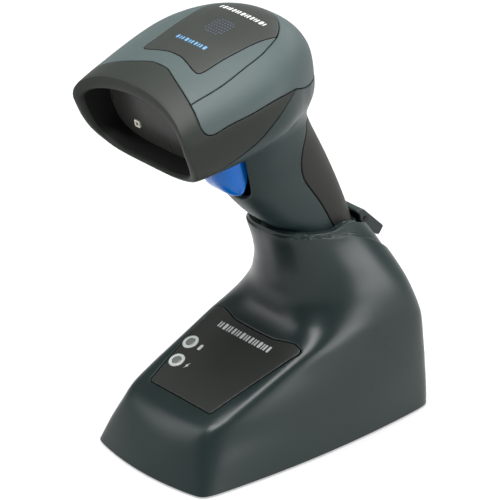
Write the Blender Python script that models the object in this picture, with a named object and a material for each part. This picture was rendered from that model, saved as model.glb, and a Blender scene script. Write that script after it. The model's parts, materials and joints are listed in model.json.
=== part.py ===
"""A cordless barcode scanner standing in its charging cradle.

The cradle is a thin moulded wedge with a docking cup in it; the scanner's handle stands in the cup.
Lengths are in millimetres and angles in degrees, and make() turns them into metres.
X runs across the product, Y from front to back and Z up from the desk. The scanner's head has a frame
of its own: s along it to the back, w across it and h up out of its top.
"""

import math

import bpy
import numpy as np

MM = 0.001

# Driving dimensions
CENTRE_Y = 3.6          # depth at which the product's middle lies, so that the origin is under it
WALL = 2.0              # moulded walls
RIM_WALL = 1.5          # the cradle wall round the cup
WAIST_HEIGHT = 75.0
GAP = 0.4               # seam between two neighbouring shells
HEAD_PITCH = math.radians(11)
HEAD_ORIGIN = (-20.0, 148.0)
DOCK_LEAN = math.radians(20)    # lean of the handle in its cup, and of the way the scanner lifts out
RIM_CENTRE = (26.6, 84.0)
RIM_HEIGHT = 84.5
HANDLE_HALF_WIDTH = 14.4
HANDLE_HALF_DEPTH = 17.6
HANDLE_SQUARENESS = 2.6
HANDLE_FOOT = -60.0             # the handle's end, along the dock axis from the rim
# Stations of the handle in its cup: along the dock axis, front, back, half-width
DOCKED_HANDLE = ((HANDLE_FOOT, -13.6, 12.4, 12.3), (-52.0, -14.6, 13.4, 13.1), (-30.0, -15.6, 14.6, 13.7))
CUP_CLEARANCE = 0.5
CUP_WALL = 1.0
DECK_FRONT = (-34.8, 25.7)      # a point of the sloping deck in side view
DECK_SLOPE = math.atan(0.436)
BATTERY_RADIUS, BATTERY_LENGTH = 9.1, 50.0
CELL_MIDDLE = -27.0
FOOT_RADIUS = 5.0
SCREW_PLACES = ((-24.0, -40.0), (24.0, -40.0), (-25.0, 44.0), (25.0, 44.0))
FOOT_PLACES = ((-23.0, -31.0), (23.0, -31.0), (-23.0, 57.0), (23.0, 57.0))
STATUS_PLACES = {"charge": (-15.8, 12.8), "power": (-18.3, 22.6)}   # across the deck, and up its slope
RING_RADIUS, LENS_RADIUS = 3.3, 1.7
PIN_SPACING = 9.0
TRIGGER_PIVOT = (-14.0, 123.5)  # (y, z)
LEVER_PIVOT = (50.2, 77.4)     # (y, z)
LEVER_HALF_WIDTH = 10.0

# Slices of the cradle's outside: height, front edge, its bow, back edge, half-width at the front, the
# middle and the back, and how square the front and the back corners are.
CRADLE = (
    (0.6, -50.2, 4.4, 66.0, 31.6, 35.4, 31.8, 26, 22),
    (10.0, -46.7, 3.6, 66.2, 28.9, 34.8, 31.7, 22, 18),
    (19.0, -43.1, 2.2, 66.2, 25.8, 34.0, 31.6, 16, 14),
    (22.3, -40.8, 1.5, 66.2, 25.4, 33.6, 31.6, 14, 13),
    (25.7, -34.8, 0.7, 66.1, 25.6, 33.2, 31.5, 12, 12),
    (34.0, -15.8, 0.2, 65.8, 26.4, 32.2, 31.2, 10, 10),
    (40.0, -2.0, 0.0, 65.2, 27.2, 31.4, 30.8, 8, 9),
    (43.5, 4.4, 0.0, 64.5, 26.4, 30.9, 30.3, 6, 8),
    (48.0, 8.8, 0.0, 63.4, 24.0, 29.8, 29.3, 4.5, 7),
    (55.0, 10.9, 0.0, 61.2, 20.4, 27.6, 27.4, 3.2, 6),
    (62.0, 10.3, 0.0, 58.4, 18.3, 25.0, 25.0, 2.8, 5),
    (67.0, 9.8, 0.0, 56.0, 17.7, 23.2, 23.0, 2.6, 4.5),
    (73.0, 8.6, 0.0, 53.0, 17.5, 21.0, 20.8, 2.6, 4.0),
    (78.0, 7.0, 0.0, 50.4, 17.7, 19.4, 19.2, 2.6, 3.4),
    (81.5, 5.8, 0.0, 48.8, 18.2, 18.7, 18.3, 2.6, 3.0),
    (RIM_HEIGHT, 5.2, 0.0, 48.2, 18.4, 18.4, 17.6, 2.6, 2.8),
)

# Stations of the head's outside: s, half-width, top, bottom, how far the cheeks lead the middle, and
# how square the section is above and below its widest line.
HEAD = (
    (-33.0, 32.3, 19.3, -15.0, 5.2, 2.15, 4.2),
    (-27.0, 33.6, 20.3, -16.0, 4.5, 2.15, 4.0),
    (-19.0, 35.1, 21.3, -16.8, 3.5, 2.15, 3.75),
    (-8.0, 37.0, 22.2, -17.4, 1.8, 2.2, 3.4),
    (5.0, 37.3, 22.7, -17.4, 0.0, 2.4, 3.1),
    (16.0, 33.8, 22.4, -17.4, 0.0, 2.6, 2.8),
    (25.0, 28.7, 21.2, -17.6, 0.0, 2.6, 2.6),
    (31.0, 24.0, 19.1, -17.8, 0.0, 2.5, 2.45),
    (35.5, 18.4, 15.8, -17.0, 0.0, 2.4, 2.3),
    (38.5, 11.8, 11.2, -14.0, 0.0, 2.3, 2.25),
    (40.5, 4.7, 6.5, -8.0, 0.0, 2.2, 2.2),
)
# The first and the last section of the room inside the head
ROOM_FRONT = (-29.6, 33.0, 19.9, -15.6, 4.9, 2.15, 4.1)
ROOM_BACK = (39.0, 9.0, 9.5, -9.0, 0.0, 2.3, 2.3)
WIDEST_LINE = 5.0
# Sections of the mouth: s, half-width, top and bottom, ahead of the rim, behind the rim and at the window
MOUTH_OUTER = (-50.0, 30.6, 15.6, -14.8)
MOUTH_NECK = (-29.2, 27.6, 13.2, -12.2)
MOUTH_INNER = (-20.4, 26.4, 12.4, -11.4)
MOUTH_LEAD = 4.9                # how far the mouth's cheeks lead its middle at the neck
FUNNEL_WALL = 1.2

# Stations of the handle above the rim: front (y, z), back (y, z), half-width, squareness.
HANDLE_TOP = (
    ((3.2, 89.0), (38.6, 98.0), 14.8, 2.5),
    ((-3.8, 96.0), (33.6, 108.5), 15.4, 2.5),
    ((-9.2, 103.5), (28.6, 117.5), 16.2, 2.6),
    ((-12.4, 113.0), (24.0, 125.5), 17.0, 2.6),
    ((-14.0, 122.0), (20.0, 133.0), 18.4, 2.6),
    ((-15.0, 131.0), (17.0, 141.0), 20.0, 2.6),
)

# The rim falls away behind the handle along this line in side view, (y, z)
RIM_BACK = ((32.0, 85.5), (33.0, 84.9), (38.0, 83.6), (42.0, 82.0), (46.0, 79.6), (50.0, 76.5), (56.0, 71.0))

# Seams of the head in side view, as (s, h)
BEZEL_SEAM = (
    (-16.5, 30), (-19.2, 21.3), (-21.6, 20.5), (-25, 18.2), (-28, 13.9), (-29.1, 10.4), (-28.6, 8.6))
COVER_SEAM = ((-27, 7.4), (-9.7, 8.2), (0, 8.6), (6, 8.2), (13.5, 6.6))
COVER_SEAM_BACK = ((18.3, 3.6), (21.8, 1.7), (26.6, -0.1), (34, -1.5), (60, -1.5))
BUMPER_SEAM = (
    (8.3, 5), (3.6, 2.3), (0, 0.5), (-7.6, -3.6), (-15.6, -6.9), (-23.9, -9.6), (-27.5, -10.9), (-30, -14),
    (-30.5, -30))
# Right halves of the seams of the top, in plan, as (s, w)
INSERT_EDGE = (
    (-45, 24.4), (-26.3, 24.4), (-19, 25.1), (-11, 25.6), (-4, 25.3), (3, 24.8), (8, 24.2), (13, 22.8),
    (17.6, 21), (20.3, 19.9))
LABEL_FRONT = ((-11.6, 0), (-12.4, 6), (-13.7, 10.4), (-14.5, 13.6))
LABEL_SIDE = ((-13.6, 16.2), (-6.6, 16.6), (3.3, 17.4), (12.2, 18.2), (20.3, 19.6))
LABEL_ARCH = ((23.6, 17), (27, 13.2), (29.6, 9.2), (31.4, 4.8), (32.2, 0))
# The grip panel's edge on the handle in side view, as (y, z)
GRIP_EDGE = (
    (14.4, 130.5), (13.6, 126), (12, 121), (11.4, 116), (11.6, 112.5), (12.9, 108.3), (17, 102.1), (22.9, 94),
    (29.2, 83.1), (36, 71), (44, 60))
TRIGGER_OUTLINE = (
    (-9.6, 127), (-24, 127.5), (-25.5, 122), (-24.5, 116), (-22, 111), (-18.6, 107), (-14.5, 104.4),
    (-11, 103.6), (-9.4, 106), (-8.2, 113), (-8.2, 121))
TRIGGER_TRAVEL = 1.7                 # how far the trigger's foot moves back when it is pressed


# ---------------------------------------------------------------------------------------- frames

def world(x, y, z):
    """Points of the product, with the origin under its middle."""
    x, y, z = np.broadcast_arrays(x, y, z)
    return np.stack([x, y - CENTRE_Y, z], axis=-1).astype(float)


def head_point(s, w, h):
    s, w, h = np.broadcast_arrays(s, w, h)
    y = HEAD_ORIGIN[0] + s * math.cos(HEAD_PITCH) - h * math.sin(HEAD_PITCH)
    z = HEAD_ORIGIN[1] + s * math.sin(HEAD_PITCH) + h * math.cos(HEAD_PITCH)
    return world(w, y, z)


def dock_point(along, w, back):
    """A point given along the dock axis from the rim, across it, and towards the back."""
    along, w, back = np.broadcast_arrays(along, w, back)
    y = RIM_CENTRE[0] - along * math.sin(DOCK_LEAN) + back * math.cos(DOCK_LEAN)
    z = RIM_CENTRE[1] + along * math.cos(DOCK_LEAN) + back * math.sin(DOCK_LEAN)
    return world(w, y, z)


def deck_point(x, up, out):
    """A point on the sloping deck: across it, up its slope and out of it."""
    x, up, out = np.broadcast_arrays(x, up, out)
    y = DECK_FRONT[0] + up * math.cos(DECK_SLOPE) - out * math.sin(DECK_SLOPE)
    z = DECK_FRONT[1] + up * math.sin(DECK_SLOPE) + out * math.cos(DECK_SLOPE)
    return world(x, y, z)


def power(value, exponent):
    return np.sign(value) * np.abs(value) ** exponent


# ------------------------------------------------------------------------------------- materials

def material(name, colour, roughness, metallic=0.0):
    """One Principled material, made once for each name."""
    if name in bpy.data.materials:
        return bpy.data.materials[name]
    made = bpy.data.materials.new(name)
    made.use_nodes = True
    shader = made.node_tree.nodes["Principled BSDF"]
    shader.inputs["Base Color"].default_value = (*colour, 1.0)
    shader.inputs["Roughness"].default_value = roughness
    shader.inputs["Metallic"].default_value = metallic
    return made


def housing_plastic():
    return material("housing_plastic", (0.055, 0.072, 0.078), 0.42)


def cradle_plastic():
    return material("cradle_plastic", (0.04, 0.052, 0.055), 0.38)


def soft_rubber():
    return material("soft_rubber", (0.035, 0.035, 0.033), 0.6)


def label_plastic():
    return material("label_plastic", (0.05, 0.049, 0.045), 0.4)


def trigger_plastic():
    return material("trigger_plastic", (0.005, 0.1, 0.48), 0.25)


def black_plastic():
    return material("black_plastic", (0.012, 0.012, 0.012), 0.5)


def window_plastic():
    return material("window_plastic", (0.03, 0.027, 0.026), 0.1)


def light_plastic():
    return material("light_plastic", (0.66, 0.69, 0.66), 0.4)


def grey_plastic():
    return material("grey_plastic", (0.3, 0.32, 0.31), 0.35)


def board_green():
    return material("board_green", (0.02, 0.12, 0.05), 0.5)


def steel():
    return material("steel", (0.55, 0.56, 0.57), 0.3, 1.0)


def gold():
    return material("gold", (0.9, 0.62, 0.2), 0.25, 1.0)


def foot_rubber():
    return material("foot_rubber", (0.02, 0.02, 0.02), 0.8)


# --------------------------------------------------------------------------------------- solids

def finish(mesh, surface):
    mesh.materials.append(surface)
    mesh.shade_smooth()
    mesh.set_sharp_from_angle(angle=math.radians(35))


def make(name, points, faces, surface):
    """An object from points in millimetres. Without a surface it is a hidden helper for a Boolean."""
    mesh = bpy.data.meshes.new(name)
    mesh.from_pydata([tuple(p) for p in np.asarray(points) * MM], [], faces)
    mesh.validate()
    made = bpy.data.objects.new(name, mesh)
    bpy.context.scene.collection.objects.link(made)
    if surface is None:
        made.hide_render = True
        made.display_type = "WIRE"
    else:
        finish(mesh, surface)
    return made


def rows_of_faces(rows, count, closed):
    """Quads between neighbouring rings; closed joins the last ring to the first."""
    faces = []
    for row in range(rows if closed else rows - 1):
        after = (row + 1) % rows
        for i in range(count):
            j = (i + 1) % count
            faces.append((row * count + i, row * count + j, after * count + j, after * count + i))
    return faces


def facing_out(points, faces):
    """The faces, turned round if the solid they close has a negative volume."""
    volume = 0.0
    for face in faces:
        for i in range(1, len(face) - 1):
            a, b, c = points[face[0]], points[face[i]], points[face[i + 1]]
            volume += np.dot(a, np.cross(b, c))
    return faces if volume > 0 else [face[::-1] for face in faces]


def loft(name, rings, surface=None):
    """A closed solid through rings of equal length, its two ends capped."""
    count = len(rings[0])
    points = np.concatenate(rings)
    faces = rows_of_faces(len(rings), count, closed=False)
    faces.append(tuple(range(count))[::-1])
    faces.append(tuple(range((len(rings) - 1) * count, len(rings) * count)))
    return make(name, points, facing_out(points, faces), surface)


def hollow_loft(name, outside, inside, surface=None):
    """A tube: rings up the outside, then back down the inside, its two rims closed."""
    rings = list(outside) + list(inside)[::-1]
    points = np.concatenate(rings)
    faces = rows_of_faces(len(rings), len(rings[0]), closed=True)
    return make(name, points, facing_out(points, faces), surface)


def prism(name, outline, place, low, high, surface=None):
    """An outline of (a, b) pairs carried from low to high by place(a, b, level)."""
    a, b = np.array(outline, float).T
    rings = [place(a, b, level) for level in (low, high)]
    return loft(name, rings, surface)


def side_prism(name, outline, half_width, surface=None):
    """An outline in side view (y, z), as thick as twice half_width."""
    return prism(name, outline, lambda y, z, x: world(x, y, z), -half_width, half_width, surface)


def head_side_prism(name, outline, half_width=60.0):
    return prism(name, outline, lambda s, h, w: head_point(s, w, h), -half_width, half_width)


def head_plan_prism(name, outline, low=9.0, high=40.0):
    return prism(name, outline, head_point, low, high)


def circle(radius, sides):
    turn = np.linspace(0, 2 * math.pi, sides, endpoint=False)
    return np.stack([radius * np.cos(turn), radius * np.sin(turn)], axis=1)


def rounded_rectangle(half_a, half_b, radius, steps=3):
    """A rectangle about the origin with round corners."""
    corners = ((1, 1, 0), (-1, 1, 90), (-1, -1, 180), (1, -1, 270))
    points = []
    for sign_a, sign_b, start in corners:
        for step in range(steps + 1):
            turn = math.radians(start + 90 * step / steps)
            a = sign_a * (half_a - radius) + radius * math.cos(turn)
            b = sign_b * (half_b - radius) + radius * math.sin(turn)
            points.append((a, b))
    return np.array(points)


def grown(outline, distance):
    """A closed outline moved outwards by distance, or inwards if it is negative."""
    points = np.array(outline, float)
    ahead, behind = np.roll(points, -1, 0), np.roll(points, 1, 0)
    area = np.sum(points[:, 0] * ahead[:, 1] - ahead[:, 0] * points[:, 1])
    turn = 1.0 if area > 0 else -1.0

    def normal(edge):
        edge = edge / np.linalg.norm(edge, axis=1)[:, None]
        return turn * np.stack([edge[:, 1], -edge[:, 0]], axis=1)

    into, out = normal(points - behind), normal(ahead - points)
    middle = into + out
    middle /= np.linalg.norm(middle, axis=1)[:, None]
    reach = distance / np.maximum(np.sum(middle * into, axis=1), 0.4)
    return points + middle * reach[:, None]


def moved(outline, a, b):
    return np.asarray(outline, float) + (a, b)


def boolean(target, other, operation):
    modifier = target.modifiers.new(operation.title() + "_" + other.name, "BOOLEAN")
    modifier.object = other
    modifier.operation = operation
    modifier.solver = "EXACT"
    return target


def cut(target, *others):
    for other in others:
        boolean(target, other, "DIFFERENCE")
    return target


def keep(target, *others):
    for other in others:
        boolean(target, other, "INTERSECT")
    return target


def join(target, *others):
    for other in others:
        boolean(target, other, "UNION")
    return target


def round_piece(name, place, radius, low, high, surface=None, sides=16, at=(0.0, 0.0)):
    """A cylinder whose axis is place's third direction."""
    return prism(name, moved(circle(radius, sides), *at), place, low, high, surface)


def ring_piece(name, place, outer, inner, low, high, surface, sides=20, at=(0.0, 0.0)):
    """A flat ring whose axis is place's third direction."""
    levels = (low, high)
    big, small = (moved(circle(r, sides), *at).T for r in (outer, inner))
    return hollow_loft(name, [place(*big, z) for z in levels], [place(*small, z) for z in levels], surface)


def block(name, place, size, centre, surface=None, radius=0.0):
    """A box, or a plate with round corners, in the axes of place."""
    half = np.array(size) / 2
    outline = rounded_rectangle(half[0], half[1], radius) if radius else np.array(
        [(half[0], half[1]), (-half[0], half[1]), (-half[0], -half[1]), (half[0], -half[1])]
    )
    outline = moved(outline, centre[0], centre[1])
    return prism(name, outline, place, centre[2] - half[2], centre[2] + half[2], surface)


def along_head(w, h, s):
    return head_point(s, w, h)


def along_dock(w, back, along):
    return dock_point(along, w, back)


def across(y, z, x):
    return world(x, y, z)


def rearwards(x, z, y):
    return world(x, y, z)


# --------------------------------------------------------------------------------------- cradle

def cradle_values(height):
    table = np.array(CRADLE)
    return np.array([np.interp(height, table[:, 0], column) for column in table.T])


def front_steepness(height):
    """Length of wall met by a level line through the front, for one unit of wall."""
    step = 0.5
    run = (cradle_values(height + step)[1] - cradle_values(height - step)[1]) / (2 * step)
    return math.sqrt(1 + run * run)


def corner_curve(count, squareness):
    """(along, across) of one edge of a square-cornered oval, from corner to corner."""
    corner = 2 ** (-1 / squareness)
    across = corner * np.sin(np.linspace(-math.pi / 2, math.pi / 2, count))
    return across, (1 - np.abs(across) ** squareness) ** (1 / squareness)


def cradle_ring(height, wall=0.0, short=5, long=9):
    """One level slice of the cradle, wall inside its outer surface."""
    _, front, bow, back, w_front, w_middle, w_back, square_front, square_back = cradle_values(height)
    front += wall * (front_steepness(height) if wall else 0)
    back -= wall
    l_f, v_f = corner_curve(short, square_front)
    l_b, v_b = corner_curve(short, square_back)
    half = long // 2
    v_s = np.concatenate([
        corner_curve(long, square_front)[0][:half], [0], corner_curve(long, square_back)[0][-half:]])
    square = np.where(v_s < 0, square_front, square_back)
    l_s = (1 - np.abs(v_s) ** square) ** (1 / square)
    v = np.concatenate([-v_f, v_s[1:-1], v_b, v_s[1:-1][::-1]])
    l = np.concatenate([l_f, l_s[1:-1], l_b[::-1], -l_s[1:-1][::-1]])
    t = (v + 1) / 2
    width = w_front * (1 - t) * (1 - 2 * t) + 4 * w_middle * t * (1 - t) + w_back * t * (2 * t - 1) - wall
    x = width * l
    y = front + (back - front) * t
    y = y - bow * np.clip(1 - (x / w_front) ** 2, 0, 1) * (1 - t) ** 2
    return world(x, y, height)


def deck_outline(front, back, w_front, w_back, dip):
    """The label plate on the deck: wider at the back, its back edge dished and its corners round."""
    right = [(w_front - 1.6, front), (w_front, front + 1.6), (w_back - 0.9, back - 6.5), (w_back, back - 3.0),
             (w_back - 1.2, back - 0.6), (w_back - 4.5, back - 0.2), (w_back * 0.45, back - dip)]
    left = [(-x, up) for x, up in right[::-1]]
    return np.array(right + left)


def make_cradle():
    heights = [row[0] for row in CRADLE]
    outside = [cradle_ring(z) for z in heights]
    inside = [cradle_ring(z, RIM_WALL if z > WAIST_HEIGHT else WALL) for z in heights]
    shell = hollow_loft("cradle_shell", outside, inside, cradle_plastic())
    label = deck_outline(-0.6, 43.4, 18.0, 25.2, 2.8)
    cut(shell, prism("label_seat", grown(label, 0.35), deck_point, -1.1, 6.0))
    plate = prism("cradle_label_plate", label, deck_point, -0.75, 0.15, label_plastic())
    for name, at in STATUS_PLACES.items():
        cut(shell, round_piece("status_hole_" + name, deck_point, RING_RADIUS + 0.35, -6, 6, at=at))
        cut(plate, round_piece("status_bore_" + name, deck_point, RING_RADIUS + 0.35, -6, 6, at=at))
        ring_piece("status_ring_" + name, deck_point, RING_RADIUS, LENS_RADIUS + 0.35, -4.0, 0.35,
                   light_plastic(), at=at)
        round_piece("status_lens_" + name, deck_point, LENS_RADIUS, -4.0, 0.2, grey_plastic(), at=at)
    cut(shell, block("data_opening", rearwards, (14.6, 12.6, 10), (15, 11.0, 66)))
    cut(shell, round_piece("power_opening", rearwards, 4.6, 60, 72, at=(-15, 10.5)))
    cut(shell, lever_gate("lever_opening"), rim_slope("rim_slope"))
    make_base()
    make_cup()
    make_electronics()
    make_lever()


def make_base():
    levels = [cradle_ring(z, WALL + 0.4, short=4, long=7) for z in (1.6, 3.4)]
    plate = loft("cradle_base_plate", levels, black_plastic())
    for number, (x, y) in enumerate(SCREW_PLACES, 1):
        cut(plate, round_piece(f"screw_bore_{number}", world, 1.8, 0, 6, sides=10, at=(x, y)))
        cut(plate, round_piece(f"screw_sink_{number}", world, 2.9, 0, 2.2, sides=12, at=(x, y)))
        screw = round_piece(f"base_screw_{number}", world, 1.4, 1.9, 8.0, steel(), 12, (x, y))
        join(screw, round_piece(f"screw_head_{number}", world, 2.5, 0.9, 1.95, sides=12, at=(x, y)))
    for number, (x, y) in enumerate(FOOT_PLACES, 1):
        round_piece(f"rubber_foot_{number}", world, FOOT_RADIUS, 0.0, 1.3, foot_rubber(), 16, (x, y))


def handle_section(front, back, half_width, squareness, inset=0.0, count=26):
    """One ring of the handle between a front and a back point in side view."""
    front, back = np.array(front, float), np.array(back, float)
    reach = (back - front) / 2
    shrink = 1 - inset / np.linalg.norm(reach)
    turn = np.linspace(0, 2 * math.pi, count, endpoint=False)
    w = (half_width - inset) * power(np.cos(turn), 2 / squareness)
    e = shrink * power(np.sin(turn), 2 / squareness)
    middle = (front + back) / 2
    return world(w, middle[0] + e * reach[0], middle[1] + e * reach[1])


def docked_stations():
    """The straight lower part of the handle, that the cup holds: its end is square to the dock axis."""
    stations = []
    for along, front, back, half_width in DOCKED_HANDLE:
        ends = [dock_point(along, 0, e)[1:] + (CENTRE_Y, 0) for e in (front, back)]
        stations.append((ends[0], ends[1], half_width, HANDLE_SQUARENESS))
    middle, height = RIM_CENTRE
    ends = (middle - HANDLE_HALF_DEPTH, height), (middle + HANDLE_HALF_DEPTH, height)
    stations.append((*ends, HANDLE_HALF_WIDTH, HANDLE_SQUARENESS))
    return stations


def make_cup():
    lower = docked_stations()
    drop = np.array([math.sin(DOCK_LEAN), -math.cos(DOCK_LEAN)])
    bottom = lower[0]
    floor, under = (tuple(np.array(p) + drop * d for p in bottom[:2]) for d in (1.0, 3.0))
    outer, inner = -(CUP_CLEARANCE + CUP_WALL), -CUP_CLEARANCE
    outside = [handle_section(*under, *bottom[2:], outer)] + [handle_section(*row, outer) for row in lower]
    cup = loft("docking_cup", outside, black_plastic())
    above = (np.array(lower[-1][0]) + (0, 4), np.array(lower[-1][1]) + (0, 4), *lower[-1][2:])
    cavity = [handle_section(*floor, *bottom[2:], inner)] + [handle_section(*row, inner) for row in lower]
    cut(cup, loft("cup_cavity", cavity + [handle_section(*above, inner)]))
    cut(cup, block("contact_slot", along_dock, (20.6, 8.6, 12), (0, -1, HANDLE_FOOT - 2)))
    cut(cup, lever_gate("cup_gate"), rim_slope("cup_slope"))
    top = HANDLE_FOOT - 1.6
    contact = block("contact_block", along_dock, (20, 8, 7), (0, -1, top - 3.5), black_plastic())
    for side, x in (("left", -PIN_SPACING / 2), ("right", PIN_SPACING / 2)):
        cut(contact, round_piece("pin_bore_" + side, along_dock, 1.35, top - 5.5, top + 2, at=(x, -1)))
        round_piece("charge_pin_" + side, along_dock, 1.0, top - 3.6, HANDLE_FOOT - 0.4, gold(), 12, (x, -1))


def make_electronics():
    block("cradle_board", world, (42, 44, 1.6), (0, -14, 8.8), board_green(), 2.0)
    socket = block("data_socket", rearwards, (14, 12, 13), (15, 11.0, 59.0), black_plastic())
    cut(socket, block("data_cavity", rearwards, (10.6, 8.6, 12), (15, 11.0, 61.6)))
    ring_piece("power_jack", rearwards, 4.0, 2.0, 53.0, 65.6, black_plastic(), at=(-15, 10.5))


def lever_gate(name):
    """The slot through the rim's back that the latch lever stands in."""
    return block(name, world, (2 * LEVER_HALF_WIDTH + 1.2, 16, 20), (0, 52.0, 78.2))


def rim_slope(name):
    """What is cut off the rim behind the handle, where it falls towards the latch lever."""
    return side_prism(name, RIM_BACK + ((56, 92), (32, 92)), 30)


def make_lever():
    """The latch tab behind the handle: a nose towards the handle, a pivot and a tail over the back."""
    outline = ((48.0, 76.5), (46.6, 80.6), (47.6, 81.5), (49.2, 81.0), (59.7, 70.9), (57.4, 67.9), (54.6, 69.6),
               (51.6, 71.4), (49.2, 73.6))
    lever = side_prism("latch_lever", outline, LEVER_HALF_WIDTH, cradle_plastic())
    cut(lever, round_piece("latch_bore", across, 1.35, -15, 15, sides=12, at=LEVER_PIVOT))
    reach = LEVER_HALF_WIDTH + 0.3
    round_piece("latch_pin", across, 1.0, -reach, reach, steel(), 12, LEVER_PIVOT)


# --------------------------------------------------------------------------------------- scanner

def head_section(station, inset=0.0, count=36):
    """One ring of the head; its cheeks lead the middle where the station says so."""
    s, half_width, top, bottom, lead, square_top, square_bottom = station
    line = WIDEST_LINE if top > WIDEST_LINE + 3 else top - 3
    turn = np.linspace(0, 2 * math.pi, count, endpoint=False)
    sine = np.sin(turn)
    square = np.where(sine >= 0, square_top, square_bottom)
    w = (half_width - inset) * power(np.cos(turn), 2 / square)
    rise = np.where(sine >= 0, top - inset - line, line - bottom - inset)
    h = line + rise * power(sine, 2 / square)
    fall = np.clip((h + 13) / 18, 0, 1) ** 0.7
    return head_point(s - lead * fall * (np.abs(w) / 32) ** 2.4, w, h)


def mouth_section(s, half_width, top, bottom, lead=0.0):
    return head_section((s, half_width, top, bottom, lead, 1.9, 3.2))


def make_helpers():
    """The whole forms that the shells are cut from."""
    helpers = {}
    helpers["head"] = loft("head_form", [head_section(row) for row in HEAD])
    rooms = (ROOM_FRONT, *HEAD[1:-2], ROOM_BACK)
    helpers["room"] = loft("head_room", [head_section(row, WALL) for row in rooms])
    stations = docked_stations() + list(HANDLE_TOP)
    helpers["handle"] = loft("handle_form", [handle_section(*row) for row in stations])
    drop = np.array([math.sin(DOCK_LEAN), -math.cos(DOCK_LEAN)]) * 5
    lowest = (stations[0][0] + drop, stations[0][1] + drop, *stations[0][2:])
    helpers["hollow"] = loft("handle_room", [handle_section(*row, WALL) for row in [lowest] + stations])
    return helpers


def copy_form(form, name, surface):
    """A new object from the mesh of a whole form, with a surface of its own."""
    made = bpy.data.objects.new(name, form.data.copy())
    finish(made.data, surface)
    bpy.context.scene.collection.objects.link(made)
    return made


def mirrored(half):
    """A closed plan outline from its right half, whose ends may lie on the middle line."""
    left = [(s, -w) for s, w in half[::-1] if w > 0]
    return np.array(list(half) + left, float)


def make_head(helpers):
    inset = -GAP / 2
    bumper = BEZEL_SEAM + COVER_SEAM + BUMPER_SEAM + ((-60, -30), (-60, 30))
    cover = ((60, 30),) + BEZEL_SEAM + COVER_SEAM + COVER_SEAM_BACK
    bumper_zone = head_side_prism("bumper_zone", grown(bumper, inset))
    cover_zone = head_side_prism("cover_zone", grown(cover, inset))
    label = mirrored(LABEL_FRONT + LABEL_SIDE + LABEL_ARCH)
    insert = mirrored(INSERT_EDGE)
    label_zone = head_plan_prism("label_zone", grown(label, inset))
    label_hole = head_plan_prism("label_hole", grown(label, -inset))
    insert_zone = head_plan_prism("insert_zone", grown(insert, inset))
    insert_hole = head_plan_prism("insert_hole", grown(insert, -inset))
    mouth_room = loft("mouth_room", [mouth_section(*MOUTH_OUTER), mouth_section(*MOUTH_INNER)])
    cover_piece = copy_form(helpers["head"], "top_cover", housing_plastic())
    cut(cover_piece, helpers["room"])
    keep(cover_piece, cover_zone)
    cut(cover_piece, insert_hole, label_hole)
    insert_piece = copy_form(helpers["head"], "top_insert", housing_plastic())
    cut(insert_piece, helpers["room"])
    keep(insert_piece, cover_zone, insert_zone)
    cut(insert_piece, label_hole)
    plate = copy_form(helpers["head"], "top_label_plate", label_plastic())
    cut(plate, helpers["room"])
    keep(plate, label_zone)
    nose = copy_form(helpers["head"], "nose_bumper", soft_rubber())
    cut(nose, helpers["room"])
    keep(nose, bumper_zone)
    cut(nose, mouth_room)


def make_housing(helpers):
    housing_outline = ((13.5, 6.6),) + COVER_SEAM_BACK + ((60, -60), (-30.5, -60)) + BUMPER_SEAM[:-1][::-1]
    zone = head_side_prism("housing_zone", grown(housing_outline, -GAP / 2))
    housing = copy_form(helpers["head"], "lower_housing", housing_plastic())
    keep(housing, zone)
    join(housing, helpers["handle"])
    cut(housing, helpers["room"], helpers["hollow"])
    cover = ((60, 30),) + BEZEL_SEAM + COVER_SEAM + COVER_SEAM_BACK
    cut(housing, head_side_prism("cover_clear", grown(cover, GAP / 2)))
    well = grown(TRIGGER_OUTLINE, 1.3)
    well[1:3] += (-8, 0)
    well[7:10] += (TRIGGER_TRAVEL, 0)
    cut(housing, side_prism("trigger_well", well, 10.4))
    grip = np.array(GRIP_EDGE + ((70, 60), (70, 130.5)), float)
    cut(housing, side_prism("grip_hole", grown(grip, GAP / 2), 30))
    panel = copy_form(helpers["handle"], "rear_grip", soft_rubber())
    cut(panel, helpers["hollow"])
    keep(panel, side_prism("grip_zone", grown(grip, -GAP / 2), 30))


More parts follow.
